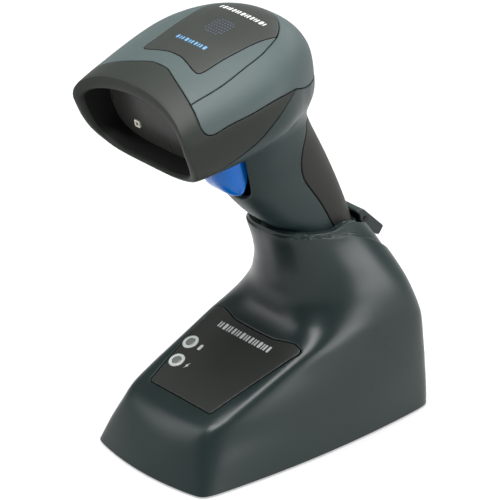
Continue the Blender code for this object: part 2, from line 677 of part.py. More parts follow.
def make_engine():
    """Funnel, window, bracket, camera and lamps, from the mouth towards the back."""
    ends = ((*MOUTH_NECK, MOUTH_LEAD), (MOUTH_INNER[0] - 0.2, *MOUTH_INNER[1:], 0.0))
    inside = [mouth_section(*row) for row in ends]
    walls = np.array((0, FUNNEL_WALL, FUNNEL_WALL, -FUNNEL_WALL, 0))
    outside = [mouth_section(*(np.array(row) + walls)) for row in ends]
    hollow_loft("mouth_funnel", outside, inside, black_plastic())
    pane = (26.8, 12.8, -11.8)
    opening = (23.6, 10.2, -9.0)
    loft("scan_window", [mouth_section(s, *pane) for s in (-20.2, -18.8)], window_plastic())
    levels = (-18.4, -17.5)
    outside, inside = ([mouth_section(s, *frame) for s in levels] for frame in (pane, opening))
    hollow_loft("window_seal", outside, inside, foot_rubber())
    bracket = block("engine_bracket", along_head, (44, 17, 1.4), (0, 0.5, -14.8), black_plastic(), 3.0)
    cut(bracket, round_piece("lens_bore", along_head, 3.9, -20, -10, at=(4.5, 0.5)))
    cut(bracket, block("aimer_bore", along_head, (4.4, 4.4, 8), (-4.5, 0.5, -15)))
    block("camera_module", along_head, (20, 13, 11), (0, 0.5, -8.2), black_plastic(), 1.0)
    ring_piece("lens_barrel", along_head, 3.5, 2.4, -17.2, -14.0, black_plastic(), at=(4.5, 0.5))
    round_piece("lens_glass", along_head, 2.05, -16.9, -15.9, window_plastic(), at=(4.5, 0.5))
    square, hole = (moved(rounded_rectangle(a, a, r), -4.5, 0.5).T for a, r in ((1.9, 0.3), (0.8, 0.3)))
    faces = (-17.2, -14.4)
    outside, inside = ([along_head(*outline, s) for s in faces] for outline in (square, hole))
    hollow_loft("aimer_aperture", outside, inside, light_plastic())
    for side, w in (("left", -16.0), ("right", 16.0)):
        round_piece("illumination_led_" + side, along_head, 2.4, -17.2, -15.8, light_plastic(), at=(w, 1.0))


def make_head_electronics():
    block("main_board", head_point, (32, 30, 1.6), (14.5, 0, -6.0), board_green(), 2.0)
    for side, w in (("left", -12.0), ("right", 12.0)):
        round_piece("board_screw_" + side, head_point, 1.9, -4.9, -3.6, steel(), 12, (27.5, w))
    round_piece("beeper", head_point, 5.0, -4.8, 0.2, black_plastic(), 20, (20, 0))
    round_piece("light_guide", head_point, 3.0, -4.8, 19.2, light_plastic(), 16, (10, 0))


def make_handle_contents():
    round_piece("battery_cell", along_dock, BATTERY_RADIUS, CELL_MIDDLE - BATTERY_LENGTH / 2,
                CELL_MIDDLE + BATTERY_LENGTH / 2, grey_plastic(), 28, (0, -0.6))
    foot = docked_stations()[0]
    rise = np.array([-math.sin(DOCK_LEAN), math.cos(DOCK_LEAN)])
    levels = [tuple(np.array(p) + rise * d for p in foot[:2]) for d in (0.3, 2.4)]
    cap = loft("foot_cap", [handle_section(*ends, *foot[2:], WALL + 0.35) for ends in levels], black_plastic())
    through = (HANDLE_FOOT - 3, HANDLE_FOOT + 6)
    for side, x in (("left", -PIN_SPACING / 2), ("right", PIN_SPACING / 2)):
        cut(cap, round_piece("contact_bore_" + side, along_dock, 2.3, *through, at=(x, -1)))
        round_piece("charge_contact_" + side, along_dock, 1.9, HANDLE_FOOT + 0.2, HANDLE_FOOT + 2.2, gold(),
                    16, (x, -1))
    cut(cap, round_piece("foot_screw_bore", along_dock, 1.9, *through, at=(0, 6.4)))
    round_piece("foot_screw", along_dock, 1.5, HANDLE_FOOT + 0.6, HANDLE_FOOT + 3.2, steel(), 12, (0, 6.4))
    block("contact_board", along_dock, (18, 10, 1.2), (0, -1.2, HANDLE_FOOT + 3.5), board_green(), 1.0)


def make_trigger():
    trigger = side_prism("trigger", TRIGGER_OUTLINE, 9.0, trigger_plastic())
    cut(trigger, round_piece("trigger_bore", across, 1.35, -12, 12, sides=12, at=TRIGGER_PIVOT))
    round_piece("trigger_pin", across, 1.0, -10.2, 10.2, steel(), 12, TRIGGER_PIVOT)
    block("trigger_switch", across, (4.0, 6.0, 6.0), (-4.8, 112.0, 0), black_plastic())
    block("trigger_leaf_spring", across, (0.4, 4.2, 6.0), (-6.0, 106.4, 0), steel())


for leftover in list(bpy.data.objects):
    bpy.data.objects.remove(leftover, do_unlink=True)

make_cradle()
forms = make_helpers()
make_head(forms)
make_housing(forms)
make_engine()
make_head_electronics()
make_handle_contents()
make_trigger()
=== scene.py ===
"""Looks for the cordless barcode scanner in its charging cradle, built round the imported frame.

The shells are rebuilt here as smooth skins from the same stations as the CAD solids. Lengths are in
millimetres until a mesh is made. X runs across, Y to the back and Z up; the head has a frame of its own.
"""

import json
import math

import bmesh
import bpy
import numpy as np
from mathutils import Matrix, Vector, kdtree
from mathutils.geometry import delaunay_2d_cdt


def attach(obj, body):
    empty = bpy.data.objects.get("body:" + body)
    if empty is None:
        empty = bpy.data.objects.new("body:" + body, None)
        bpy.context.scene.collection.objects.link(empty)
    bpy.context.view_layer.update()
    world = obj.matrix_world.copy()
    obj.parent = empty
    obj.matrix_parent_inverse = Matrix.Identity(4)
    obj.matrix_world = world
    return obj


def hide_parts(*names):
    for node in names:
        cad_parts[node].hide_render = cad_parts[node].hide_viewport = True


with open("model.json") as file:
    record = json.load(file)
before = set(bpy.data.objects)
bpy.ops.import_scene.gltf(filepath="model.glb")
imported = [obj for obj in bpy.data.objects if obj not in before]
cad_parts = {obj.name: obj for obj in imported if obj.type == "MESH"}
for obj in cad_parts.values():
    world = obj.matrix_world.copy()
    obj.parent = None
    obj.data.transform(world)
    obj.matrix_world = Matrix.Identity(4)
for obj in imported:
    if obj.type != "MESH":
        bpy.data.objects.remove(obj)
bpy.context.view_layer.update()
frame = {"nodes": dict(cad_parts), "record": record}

MM = 0.001
CENTRE_Y = 3.6                      # depth of the frame's origin in the lengths below
HEAD_PITCH = math.radians(11)
HEAD_ORIGIN = (-20.0, 148.0)
DOCK_LEAN = math.radians(20)
RIM_CENTRE = (26.6, 84.0)
RIM_HEIGHT = 84.5
DECK_FRONT = (-34.8, 25.7)
DECK_SLOPE = math.atan(0.436)
SEAM = 0.4                          # gap between neighbouring shells
WALL = 1.6

# s, half-width, top, bottom, lead of the cheeks, squareness above and below, height of the widest line
HEAD = (
    (-33.0, 32.3, 19.3, -15.0, 5.2, 2.15, 4.2, 5.0),
    (-27.0, 33.6, 20.3, -16.0, 4.5, 2.15, 4.0, 5.0),
    (-19.0, 35.1, 21.3, -16.8, 3.5, 2.15, 3.75, 5.0),
    (-8.0, 37.0, 22.2, -17.4, 1.8, 2.2, 3.4, 5.0),
    (5.0, 37.3, 22.7, -17.4, 0.0, 2.4, 3.1, 5.0),
    (16.0, 33.8, 22.4, -17.4, 0.0, 2.6, 2.8, 5.0),
    (25.0, 28.7, 21.2, -17.6, 0.0, 2.6, 2.6, 5.0),
    (31.0, 24.0, 19.1, -17.8, 0.0, 2.5, 2.45, 4.6),
    (35.5, 18.4, 15.8, -17.0, 0.0, 2.4, 2.3, 3.4),
    (38.5, 11.8, 10.8, -14.2, 0.0, 2.3, 2.2, 0.8),
    (40.5, 4.7, 2.8, -9.4, 0.0, 2.1, 2.1, -3.0),
    (41.0, 0.0, -4.4, -4.4, 0.0, 2.0, 2.0, -4.4),
)
# The mouth's inside, from the window to the lip, in the same terms
MOUTH = (
    (-20.4, 26.4, 12.4, -11.7, 0.0, 1.9, 3.2, 5.0),
    (-26.5, 27.6, 13.1, -12.8, 3.0, 1.9, 3.4, 5.0),
    (-32.6, 28.9, 13.9, -14.0, 5.2, 1.95, 3.9, 5.0),
)
LIP_ROWS = 4                        # how far back the lip's arc reaches, in rows of the head

# front (y, z), back (y, z), half-width and squareness of the handle, from its foot upwards
HANDLE_TOP = (
    ((3.2, 89.0), (38.6, 98.0), 14.8, 2.5),
    ((-3.8, 96.0), (33.6, 108.5), 15.4, 2.5),
    ((-9.2, 103.5), (28.6, 117.5), 16.2, 2.6),
    ((-12.4, 113.0), (24.0, 125.5), 17.0, 2.6),
    ((-14.0, 122.0), (20.0, 133.0), 18.4, 2.6),
    ((-15.0, 131.0), (17.0, 141.0), 20.0, 2.6),
    ((-15.6, 140.0), (14.0, 149.0), 21.6, 2.6),
)
HANDLE_FOOT = -60.0
# along the dock axis, front, back and half-width of the handle's part in the cup
HANDLE_DOCKED = ((HANDLE_FOOT, -13.6, 12.4, 12.3), (-52.0, -14.6, 13.4, 13.1), (-30.0, -15.6, 14.6, 13.7))
HANDLE_RIM = ((RIM_CENTRE[0] - 17.6, RIM_CENTRE[1]), (RIM_CENTRE[0] + 17.6, RIM_CENTRE[1]), 14.4, 2.6)

# height, front, bow, back, half-width at the front, the middle and the back, squareness front and back
CRADLE = (
    (0.6, -50.2, 4.4, 66.0, 31.6, 35.4, 31.8, 26, 22),
    (10.0, -46.7, 3.6, 66.2, 28.9, 34.8, 31.7, 22, 18),
    (19.0, -43.1, 2.2, 66.2, 25.8, 34.0, 31.6, 16, 14),
    (22.3, -40.8, 1.5, 66.2, 25.4, 33.6, 31.6, 14, 13),
    (25.7, -34.8, 0.7, 66.1, 25.6, 33.2, 31.5, 12, 12),
    (34.0, -15.8, 0.2, 65.8, 26.4, 32.2, 31.2, 10, 10),
    (40.0, -2.0, 0.0, 65.2, 27.2, 31.4, 30.8, 8, 9),
    (43.5, 4.4, 0.0, 64.5, 26.4, 30.9, 30.3, 6, 8),
    (48.0, 8.8, 0.0, 63.4, 24.0, 29.8, 29.3, 4.5, 7),
    (55.0, 10.9, 0.0, 61.2, 20.4, 27.6, 27.4, 3.2, 6),
    (62.0, 10.3, 0.0, 58.4, 18.3, 25.0, 25.0, 2.8, 5),
    (67.0, 9.8, 0.0, 56.0, 17.7, 23.2, 23.0, 2.6, 4.5),
    (73.0, 8.6, 0.0, 53.0, 17.5, 21.0, 20.8, 2.6, 4.0),
    (78.0, 7.0, 0.0, 50.4, 17.7, 19.4, 19.2, 2.6, 3.4),
    (81.5, 5.8, 0.0, 48.8, 18.2, 18.7, 18.3, 2.6, 3.0),
    (RIM_HEIGHT, 5.2, 0.0, 48.2, 18.4, 18.4, 17.6, 2.6, 2.8),
)
RIM_LINE = (
    (7.0, 84.5), (12.0, 84.3), (18.0, 83.6), (23.0, 82.9), (26.0, 82.6), (29.0, 82.8), (32.0, 83.3),
    (34.5, 83.3), (37.8, 82.6), (41.5, 81.0), (46.0, 78.9), (50.0, 76.2), (56.0, 71.0))

# Seams of the head in side view (s, h) and in plan (s, w), right halves
BEZEL = ((-19.1, 21.25), (-21.6, 20.5), (-25, 18.2), (-28, 13.9), (-29.1, 10.4), (-28.6, 8.6), (-27, 7.5))
COVER_SIDE = ((-22, 7.6), (-9.7, 8.2), (0, 8.6), (6, 8.2), (13.5, 6.6))
COVER_BACK = ((18.3, 3.6), (21.8, 1.7), (26.6, -0.1), (34, -1.5), (39.0, -1.5), (42.0, -1.5))
BUMPER_SIDE = (
    (13.5, 6.6), (8.3, 4.6), (3.6, 2.3), (0, 0.5), (-7.6, -3.6), (-15.6, -6.9), (-23.9, -9.6), (-27.8, -11.2),
    (-29.8, -13.8), (-30.5, -16.4))
INSERT_SIDE = (
    (-29.5, 24.4), (-26.3, 24.4), (-19, 25.1), (-11, 25.6), (-4, 25.3), (3, 24.8), (8, 24.2), (13, 22.8),
    (17.6, 21), (20.3, 19.7))
LABEL_FRONT = ((-11.6, 0), (-11.7, 3), (-12.4, 6), (-13.7, 10.4), (-14.5, 13.6), (-14.2, 15.6))
LABEL_SIDE = ((-12.4, 16.3), (-6.6, 16.6), (3.3, 17.4), (12.2, 18.2), (20.3, 19.6))
LABEL_ARCH = ((20.3, 19.6), (23.6, 17), (27, 13.2), (29.6, 9.2), (31.4, 4.8), (32.2, 0))
GRIP_SIDE = (
    (14.4, 130.5), (13.6, 126), (12, 121), (11.4, 116), (11.6, 112.5), (12.9, 108.3), (17, 102.1), (22.9, 94),
    (29.2, 83.1), (36, 71), (41.5, 60), (43.0, 50), (44.5, 30))
WELL = ((10.4, 128.6), (10.4, 104.6))           # the trigger's recess: half-width and height of its corners


# ------------------------------------------------------------------------------------ small helpers

def head_point(s, w, h):
    y = HEAD_ORIGIN[0] + s * math.cos(HEAD_PITCH) - h * math.sin(HEAD_PITCH)
    z = HEAD_ORIGIN[1] + s * math.sin(HEAD_PITCH) + h * math.cos(HEAD_PITCH)
    return np.stack(np.broadcast_arrays(np.asarray(w, float), y, z), axis=-1)


def head_seen(p):
    """(s, w, h) of points."""
    y, z = p[..., 1] - HEAD_ORIGIN[0], p[..., 2] - HEAD_ORIGIN[1]
    c, n = math.cos(HEAD_PITCH), math.sin(HEAD_PITCH)
    return y * c + z * n, p[..., 0], z * c - y * n


def dock_point(along, w, back):
    y = RIM_CENTRE[0] - along * math.sin(DOCK_LEAN) + back * math.cos(DOCK_LEAN)
    z = RIM_CENTRE[1] + along * math.cos(DOCK_LEAN) + back * math.sin(DOCK_LEAN)
    return np.stack(np.broadcast_arrays(np.asarray(w, float), y, z), axis=-1)


def side_of_head(p):
    s, _, h = head_seen(p)
    return np.stack([s, h], axis=-1)


def plan_of_head(p):
    s, w, _ = head_seen(p)
    return np.stack([s, w], axis=-1)


def side_view(p):
    return p[..., 1:]


def front_view(p):
    return p[..., ::2]


def distances(points):
    """Running length along a line of points."""
    steps = np.linalg.norm(np.diff(points, axis=0), axis=1)
    return np.concatenate([[0], np.cumsum(steps)])


def cubic(x, table):
    """The natural cubic spline through the rows of table at x, as a function."""
    x, y = np.asarray(x, float), np.asarray(table, float).reshape(len(x), -1)
    h = np.diff(x)
    a, r = np.eye(len(x)), np.zeros_like(y)
    for i in range(1, len(x) - 1):
        a[i, i - 1:i + 2] = h[i - 1], 2 * (h[i - 1] + h[i]), h[i]
        r[i] = 6 * ((y[i + 1] - y[i]) / h[i] - (y[i] - y[i - 1]) / h[i - 1])
    m = np.linalg.solve(a, r)

    def at(t):
        t = np.atleast_1d(np.asarray(t, float))
        i = np.clip(np.searchsorted(x, t) - 1, 0, len(x) - 2)
        left, right, step = (x[i + 1] - t)[:, None], (t - x[i])[:, None], h[i][:, None]
        return ((m[i] * left ** 3 + m[i + 1] * right ** 3) / (6 * step)
                + (y[i] / step - m[i] * step / 6) * left + (y[i + 1] / step - m[i + 1] * step / 6) * right)
    return at


def monotone(x, table, at):
    """Values of table's rows at new x, with no overshoot between them."""
    x, y = np.asarray(x, float), np.asarray(table, float).reshape(len(x), -1)
    h = np.diff(x)[:, None]
    slope = np.diff(y, axis=0) / h
    m = np.zeros_like(y)
    m[0], m[-1] = slope[0], slope[-1]
    same = slope[:-1] * slope[1:] > 0
    w1, w2 = 2 * h[1:] + h[:-1], h[1:] + 2 * h[:-1]
    with np.errstate(divide="ignore", invalid="ignore"):
        mean = (w1 + w2) / (w1 / slope[:-1] + w2 / slope[1:])
    m[1:-1] = np.where(same, mean, 0)
    at = np.atleast_1d(np.asarray(at, float))
    i = np.clip(np.searchsorted(x, at) - 1, 0, len(x) - 2)
    t, step = ((at - x[i]) / h[i, 0])[:, None], h[i]
    return ((2 * t ** 3 - 3 * t ** 2 + 1) * y[i] + (t ** 3 - 2 * t ** 2 + t) * step * m[i]
            + (3 * t ** 2 - 2 * t ** 3) * y[i + 1] + (t ** 3 - t ** 2) * step * m[i + 1])


def flowing(points, spacing=0.1):
    """A dense smooth line through a few points."""
    points = np.asarray(points, float)
    along = distances(points)
    return cubic(along, points)(np.linspace(0, along[-1], max(int(along[-1] / spacing), 8)))


def quarter(squareness, count):
    """Cosine-like and sine-like values round a quarter of a square-cornered oval, evenly spread."""
    t = np.linspace(0, 1, count)
    bend = squareness / 2
    turn = t ** bend / (t ** bend + (1 - t) ** bend) * math.pi / 2
    c, n = np.cos(turn).clip(0) ** (2 / squareness), np.sin(turn).clip(0) ** (2 / squareness)
    c[-1] = 0.0
    return c, n


def evenly(points, count):
    """count points at equal distances along a line."""
    along = distances(points)
    if along[-1] < 1e-9:
        return np.repeat(points[:1], count, axis=0)
    at = np.linspace(0, along[-1], count)
    return np.stack([np.interp(at, along, points[:, i]) for i in range(points.shape[1])], axis=1)


# ------------------------------------------------------------------------------------------- skins

class Skin:
    """The right half of a smooth surface, held as a fine grid. u runs down the rows and v, from one
    middle line to the other, along the columns; both are close to millimetres."""

    def __init__(self, rows, u, length):
        self.rows, self.u, self.length, self.side, self.floor = rows, np.asarray(u, float), length, 1.0, -1e9
        inner_third = self.u[len(self.u) // 3:-len(self.u) // 3]
        sideways = np.stack([inner_third, np.full(len(inner_third), length / 2)], axis=1)
        if self.normals(sideways)[:, 0].mean() < 0:
            self.side = -1.0

    def at(self, uv):
        uv = np.atleast_2d(uv)
        count = self.rows.shape[1] - 1
        u = np.interp(uv[:, 0], self.u, np.arange(len(self.u)))
        v = np.clip(uv[:, 1] / self.length * count, 0, count)
        i, j = np.minimum(u.astype(int), len(self.u) - 2), np.minimum(v.astype(int), count - 1)
        a, b = (u - i)[:, None], (v - j)[:, None]
        g = self.rows
        return ((g[i, j] * (1 - a) + g[i + 1, j] * a) * (1 - b)
                + (g[i, j + 1] * (1 - a) + g[i + 1, j + 1] * a) * b)

    def slopes(self, uv, reach=0.35):
        uv = np.atleast_2d(uv)
        out = []
        for axis, low, high in ((0, self.u[0], self.u[-1]), (1, 0, self.length)):
            ahead, behind = uv.copy(), uv.copy()
            ahead[:, axis] = np.minimum(uv[:, axis] + reach, high)
            behind[:, axis] = np.maximum(uv[:, axis] - reach, low)
            out.append((self.at(ahead) - self.at(behind)) / (ahead - behind)[:, axis][:, None])
        return out

    def normals(self, uv):
        du, dv = self.slopes(uv)
        n = np.cross(du, dv) * self.side
        return n / np.maximum(np.linalg.norm(n, axis=1), 1e-9)[:, None]

    def locate(self, target, seen, columns=(0.0, 1.0)):
        """(u, v) of the surface points that seen() shows at these places."""
        grid = self.rows[::5, ::5]
        u, v = self.u[::5], np.linspace(0, self.length, self.rows.shape[1])[::5]
        uu, vv = np.meshgrid(u, v, indexing="ij")
        shown, places = seen(grid).reshape(-1, 2), np.stack([uu, vv], -1).reshape(-1, 2)
        wanted = (places[:, 1] >= columns[0] * self.length) & (places[:, 1] <= columns[1] * self.length)
        wanted &= places[:, 0] >= self.floor
        shown, places = shown[wanted], places[wanted]
        nearest = [np.argmin(((shown - t) ** 2).sum(1)) for t in target]
        uv = places[nearest].astype(float)
        for _ in range(30):
            miss = target - seen(self.at(uv))
            ju, jv = [], []
            for axis, out, low, high in ((0, ju, self.u[0], self.u[-1]), (1, jv, 0, self.length)):
                ahead, behind = uv.copy(), uv.copy()
                ahead[:, axis] = np.minimum(uv[:, axis] + 0.2, high)
                behind[:, axis] = np.maximum(uv[:, axis] - 0.2, low)
                out.append((seen(self.at(ahead)) - seen(self.at(behind))) / (ahead - behind)[:, axis][:, None])
            ju, jv = ju[0], jv[0]
            a, b, c = (ju * ju).sum(1) + 1e-4, (ju * jv).sum(1), (jv * jv).sum(1) + 1e-4
            ru, rv = (ju * miss).sum(1), (jv * miss).sum(1)
            det = a * c - b * b
            step = np.stack([(c * ru - b * rv) / det, (a * rv - b * ru) / det], axis=1)
            uv = uv + np.clip(step, -1.5, 1.5)
            uv[:, 0] = uv[:, 0].clip(max(self.u[0], self.floor), self.u[-1])
            uv[:, 1] = uv[:, 1].clip(0, self.length)
        return uv

    def line(self, points, seen, spacing=0.7, columns=(0.0, 1.0), smooth=True):
        """A seam given by a few points in some view, as (u, v) places at even distances."""
        dense = flowing(points) if smooth else evenly(np.asarray(points, float), 400)
        return self.spaced(self.locate(dense, seen, columns), spacing)

    def spaced(self, uv, spacing):
        along = distances(self.at(uv))
        at = np.linspace(0, along[-1], max(int(round(along[-1] / spacing)), 2) + 1)
        return np.stack([np.interp(at, along, uv[:, 0]), np.interp(at, along, uv[:, 1])], axis=1)

    def shifted(self, line, distance):
        """line moved to its left on the surface; an end on a middle line stays on it."""
        p, (du, dv) = self.at(line), self.slopes(line)
        steps = np.diff(p, axis=0)
        steps /= np.maximum(np.linalg.norm(steps, axis=1), 1e-9)[:, None]
        into, out = np.vstack([steps[:1], steps]), np.vstack([steps, steps[-1:]])
        tangent = into + out
        tangent /= np.maximum(np.linalg.norm(tangent, axis=1), 1e-9)[:, None]
        normal = np.cross(du, dv)
        normal /= np.maximum(np.linalg.norm(normal, axis=1), 1e-9)[:, None]
        left = np.cross(normal, tangent)
        a, b, c = (du * du).sum(1), (du * dv).sum(1), (dv * dv).sum(1)
        ru, rv = (du * left).sum(1), (dv * left).sum(1)
        det = np.maximum(a * c - b * b, 1e-6)
        move = np.stack([(c * ru - b * rv) / det, (a * rv - b * ru) / det], axis=1)
        reach = distance / np.maximum((tangent * into).sum(1), 0.5)
        for end in (0, -1):
            if line[end, 1] < 0.02 or line[end, 1] > self.length - 0.02:
                sign = 1.0 if move[end, 0] > 0 else -1.0
                move[end] = (sign / math.sqrt(max(a[end], 1e-6)), 0)
        return line + move * reach[:, None]


def inside(points, outline):
    """Which points lie in a closed outline."""
    x, y = points[:, 0][:, None], points[:, 1][:, None]
    x0, y0 = outline.T
    x1, y1 = np.roll(outline, -1, 0).T
    crosses = (y0 > y) != (y1 > y)
    with np.errstate(divide="ignore", invalid="ignore"):
        at = x0 + (y - y0) * (x1 - x0) / (y1 - y0)
    return (crosses & (x < at)).sum(1) % 2 == 1


def edge_depth(distance, radius):
    """How far a rounded edge falls below the surface, this far from the seam."""
    gone = np.clip(radius - distance, 0, radius)
    return radius - np.sqrt(np.maximum(radius * radius - gone * gone, 0))


def met(a, b):
    """Two lines that follow each other, cut back to the point where they cross."""
    for back_step in range(1, min(60, len(a))):
        p, q = a[-back_step - 1], a[-back_step]
        for step in range(min(60, len(b) - 1)):
            r, t = b[step], b[step + 1]
            d, e, f = q - p, t - r, r - p
            det = d[0] * e[1] - d[1] * e[0]
            if abs(det) < 1e-12:
                continue
            m, n = (f[0] * e[1] - f[1] * e[0]) / det, (f[0] * d[1] - f[1] * d[0]) / det
            if -1e-9 <= m <= 1 + 1e-9 and -1e-9 <= n <= 1 + 1e-9:
                corner_point = p + d * m
                return np.vstack([a[:-back_step], corner_point]), np.vstack([corner_point, b[step + 1:]])
    return a, b


def joined(before, before_seam, line, seam):
    """line without the points that the line before it already holds or passes."""
    end = before[-1]
    if np.linalg.norm(end - line[0]) < 0.02:
        return line[1:]
    if before_seam and not seam:
        keep = np.linalg.norm(line - end, axis=1) > 0.3
        ahead = ((line - end) * (line[-1] - end)).sum(1) > 0
        return line[keep & ahead]
    return line


class Half:
    """Triangles of the right half of a piece: points, the way inwards at each, and faces."""

    def __init__(self):
        self.points, self.inward, self.faces = [], [], []

    def add(self, points, inward, faces):
        start = sum(len(p) for p in self.points)
        self.points.append(points)
        self.inward.append(inward)
        self.faces.append(np.asarray(faces) + start)


def patch(half, skin, parts, spacing=1.4, radius=0.35, wall=WALL, fit=None, extra=()):
    """Adds the part of a skin inside an outline to half. parts go round it with the inside on their left:
    (line, True) for a seam, which gets a gap and a rounded edge, or (line, False) where the skin goes on.
    fit, if given, moves points and returns their places and normals."""
    rows = [0.0, 0.1, 0.35, 0.65, 1.0]
    rough = np.concatenate([line for line, _ in parts])
    x, y = rough.T
    if (x * np.roll(y, -1) - y * np.roll(x, -1)).sum() < 0:
        parts = [(line[::-1], seam) for line, seam in parts[::-1]]
    lines = [skin.shifted(line, SEAM / 2) if seam else line for line, seam in parts]
    kinds = [seam for _, seam in parts]
    for i in range(len(lines)):
        j = (i + 1) % len(lines)
        if kinds[i] and kinds[j]:
            lines[i], lines[j] = met(lines[i], lines[j])
    cores = [line for line, seam in zip(lines, kinds) if seam]
    outline = [lines[0]]
    for before, line in zip(range(len(lines) - 1), lines[1:]):
        outline.append(joined(outline[-1], kinds[before], line, kinds[before + 1]))
    # the way round closes on the first line
    outline[0] = joined(outline[-1], kinds[-1], outline[0], kinds[0])
    outline = np.concatenate(outline)
    if np.linalg.norm(outline[0] - outline[-1]) < 0.05:
        outline = outline[:-1]
    points, links = [outline], [(i, (i + 1) % len(outline)) for i in range(len(outline))]
    near = None
    if cores:
        dense = np.concatenate([skin.at(skin.spaced(core, 0.12)) for core in cores])
        near = kdtree.KDTree(len(dense))
        for i, p in enumerate(dense):
            near.insert(p, i)
        near.balance()

    def away(uv):
        if near is None:
            return np.full(len(uv), 99.0)
        return np.array([near.find(p)[2] for p in skin.at(uv)])

    start = len(outline)
    for core in cores:
        for share in rows[1:] + [1.0 + 0.6 * spacing / max(radius, 0.1) * 0.5]:
            reach = share * radius
            line = skin.shifted(core, reach)
            good = inside(line, outline) & (away(line) > 0.8 * reach)
            on_middle = (line[:, 1] < 0.02) | (line[:, 1] > skin.length - 0.02)
            good |= on_middle & (away(line) > 0.8 * reach)
            index = np.cumsum(good) - 1
            for i in range(len(line) - 1):
                if good[i] and good[i + 1]:
                    links.append((start + index[i], start + index[i + 1]))
            points.append(line[good])
            start += int(good.sum())
    low, high = outline.min(0), outline.max(0)
    across = np.arange(low[0], high[0], spacing * 0.866)
    grid = []
    for n, u in enumerate(across):
        v = np.arange(low[1] + (n % 2) * spacing / 2, high[1], spacing)
        grid.append(np.stack([np.full_like(v, u), v], axis=1))
    grid = np.concatenate(grid)
    grid = grid[inside(grid, outline)]
    grid = grid[away(grid) > radius + spacing * 0.55]
    border = kdtree.KDTree(len(outline))
    for i, p in enumerate(outline):
        border.insert((*p, 0), i)
    border.balance()
    grid = grid[np.array([border.find((*p, 0))[2] for p in grid]) > 0.45 * spacing]
    points.append(grid)
    for line in extra:
        good = inside(line, outline)
        good[good] = away(line[good]) > radius + 0.12
        points.append(line[good])
    everything = np.concatenate(points)
    made, _, faces, *_ = delaunay_2d_cdt([Vector(p) for p in everything], links, [], 0, 1e-5)
    uv = np.array([tuple(p) for p in made])
    faces = np.array([f for f in faces if len(f) == 3])
    faces = faces[inside(uv[faces].mean(axis=1), outline)]
    used = np.unique(faces)
    index = np.zeros(len(uv), int)
    index[used] = np.arange(len(used))
    uv, faces = uv[used], index[faces]
    place, normal = skin.at(uv), skin.normals(uv)
    if fit is not None:
        place, normal = fit(place, normal)
    gap = away(uv)
    place = place - normal * edge_depth(gap, radius)[:, None]
    a, b, c = (place[faces[:, i]] for i in range(3))
    flat = np.cross(b - a, c - a)
    if (flat * normal[faces[:, 0]]).sum() < 0:
        faces = faces[:, ::-1]
    half.add(place, -normal * wall, faces)


def object_of(name, points, faces, material, smooth=True, angle=40):
    """A mesh object from points in millimetres."""
    mesh = bpy.data.meshes.new(name)
    mesh.from_pydata([tuple(p) for p in (np.asarray(points) - (0, CENTRE_Y, 0)) * MM], [], faces)
    mesh.validate()
    if smooth:
        mesh.shade_smooth()
        mesh.set_sharp_from_angle(angle=math.radians(angle))
    made = bpy.data.objects.new(name, mesh)
    bpy.context.scene.collection.objects.link(made)
    if material is not None:
        mesh.materials.append(material)
    return made


def outward(made):
    """Turns all faces outwards."""
    work = bmesh.new()
    work.from_mesh(made.data)
    bmesh.ops.recalc_face_normals(work, faces=work.faces)
    work.to_mesh(made.data)
    work.free()
    made.data.update()


def rounded(outline, radius, steps=4):
    """A closed outline with its corners rounded by short arcs of chords."""
    outline, out = np.asarray(outline, float), []
    for before, corner_point, after in zip(np.roll(outline, 1, 0), outline, np.roll(outline, -1, 0)):
        a, b = before - corner_point, after - corner_point
        reach = min(radius, np.linalg.norm(a) * 0.45, np.linalg.norm(b) * 0.45)
        start, stop = corner_point + a / np.linalg.norm(a) * reach, corner_point + b / np.linalg.norm(b) * reach
        for t in np.linspace(0, 1, steps + 1):
            out.append((1 - t) ** 2 * start + 2 * t * (1 - t) * corner_point + t * t * stop)
    return np.array(out)


def cut_away(made, cutter):
    """Cuts one mesh object out of another and removes the cutter."""
    step = made.modifiers.new("cut", "BOOLEAN")
    step.object, step.operation, step.solver = cutter, "DIFFERENCE", "EXACT"
    bpy.context.view_layer.update()
    seen = made.evaluated_get(bpy.context.evaluated_depsgraph_get())
    mesh = bpy.data.meshes.new_from_object(seen)
    made.modifiers.clear()
    made.data = mesh
    bpy.data.objects.remove(cutter, do_unlink=True)


def prism(outline, near, far):
    """A cutter through the back wall from an (x, z) outline."""
    n = len(outline)
    points = [(x, y, z) for y in (near, far) for x, z in outline]
    faces = [(i, (i + 1) % n, (i + 1) % n + n, i + n) for i in range(n)]
    faces += [tuple(range(n))[::-1], tuple(range(n, 2 * n))]
    made = object_of("cutter", points, faces, None, smooth=False)
    outward(made)
    return made


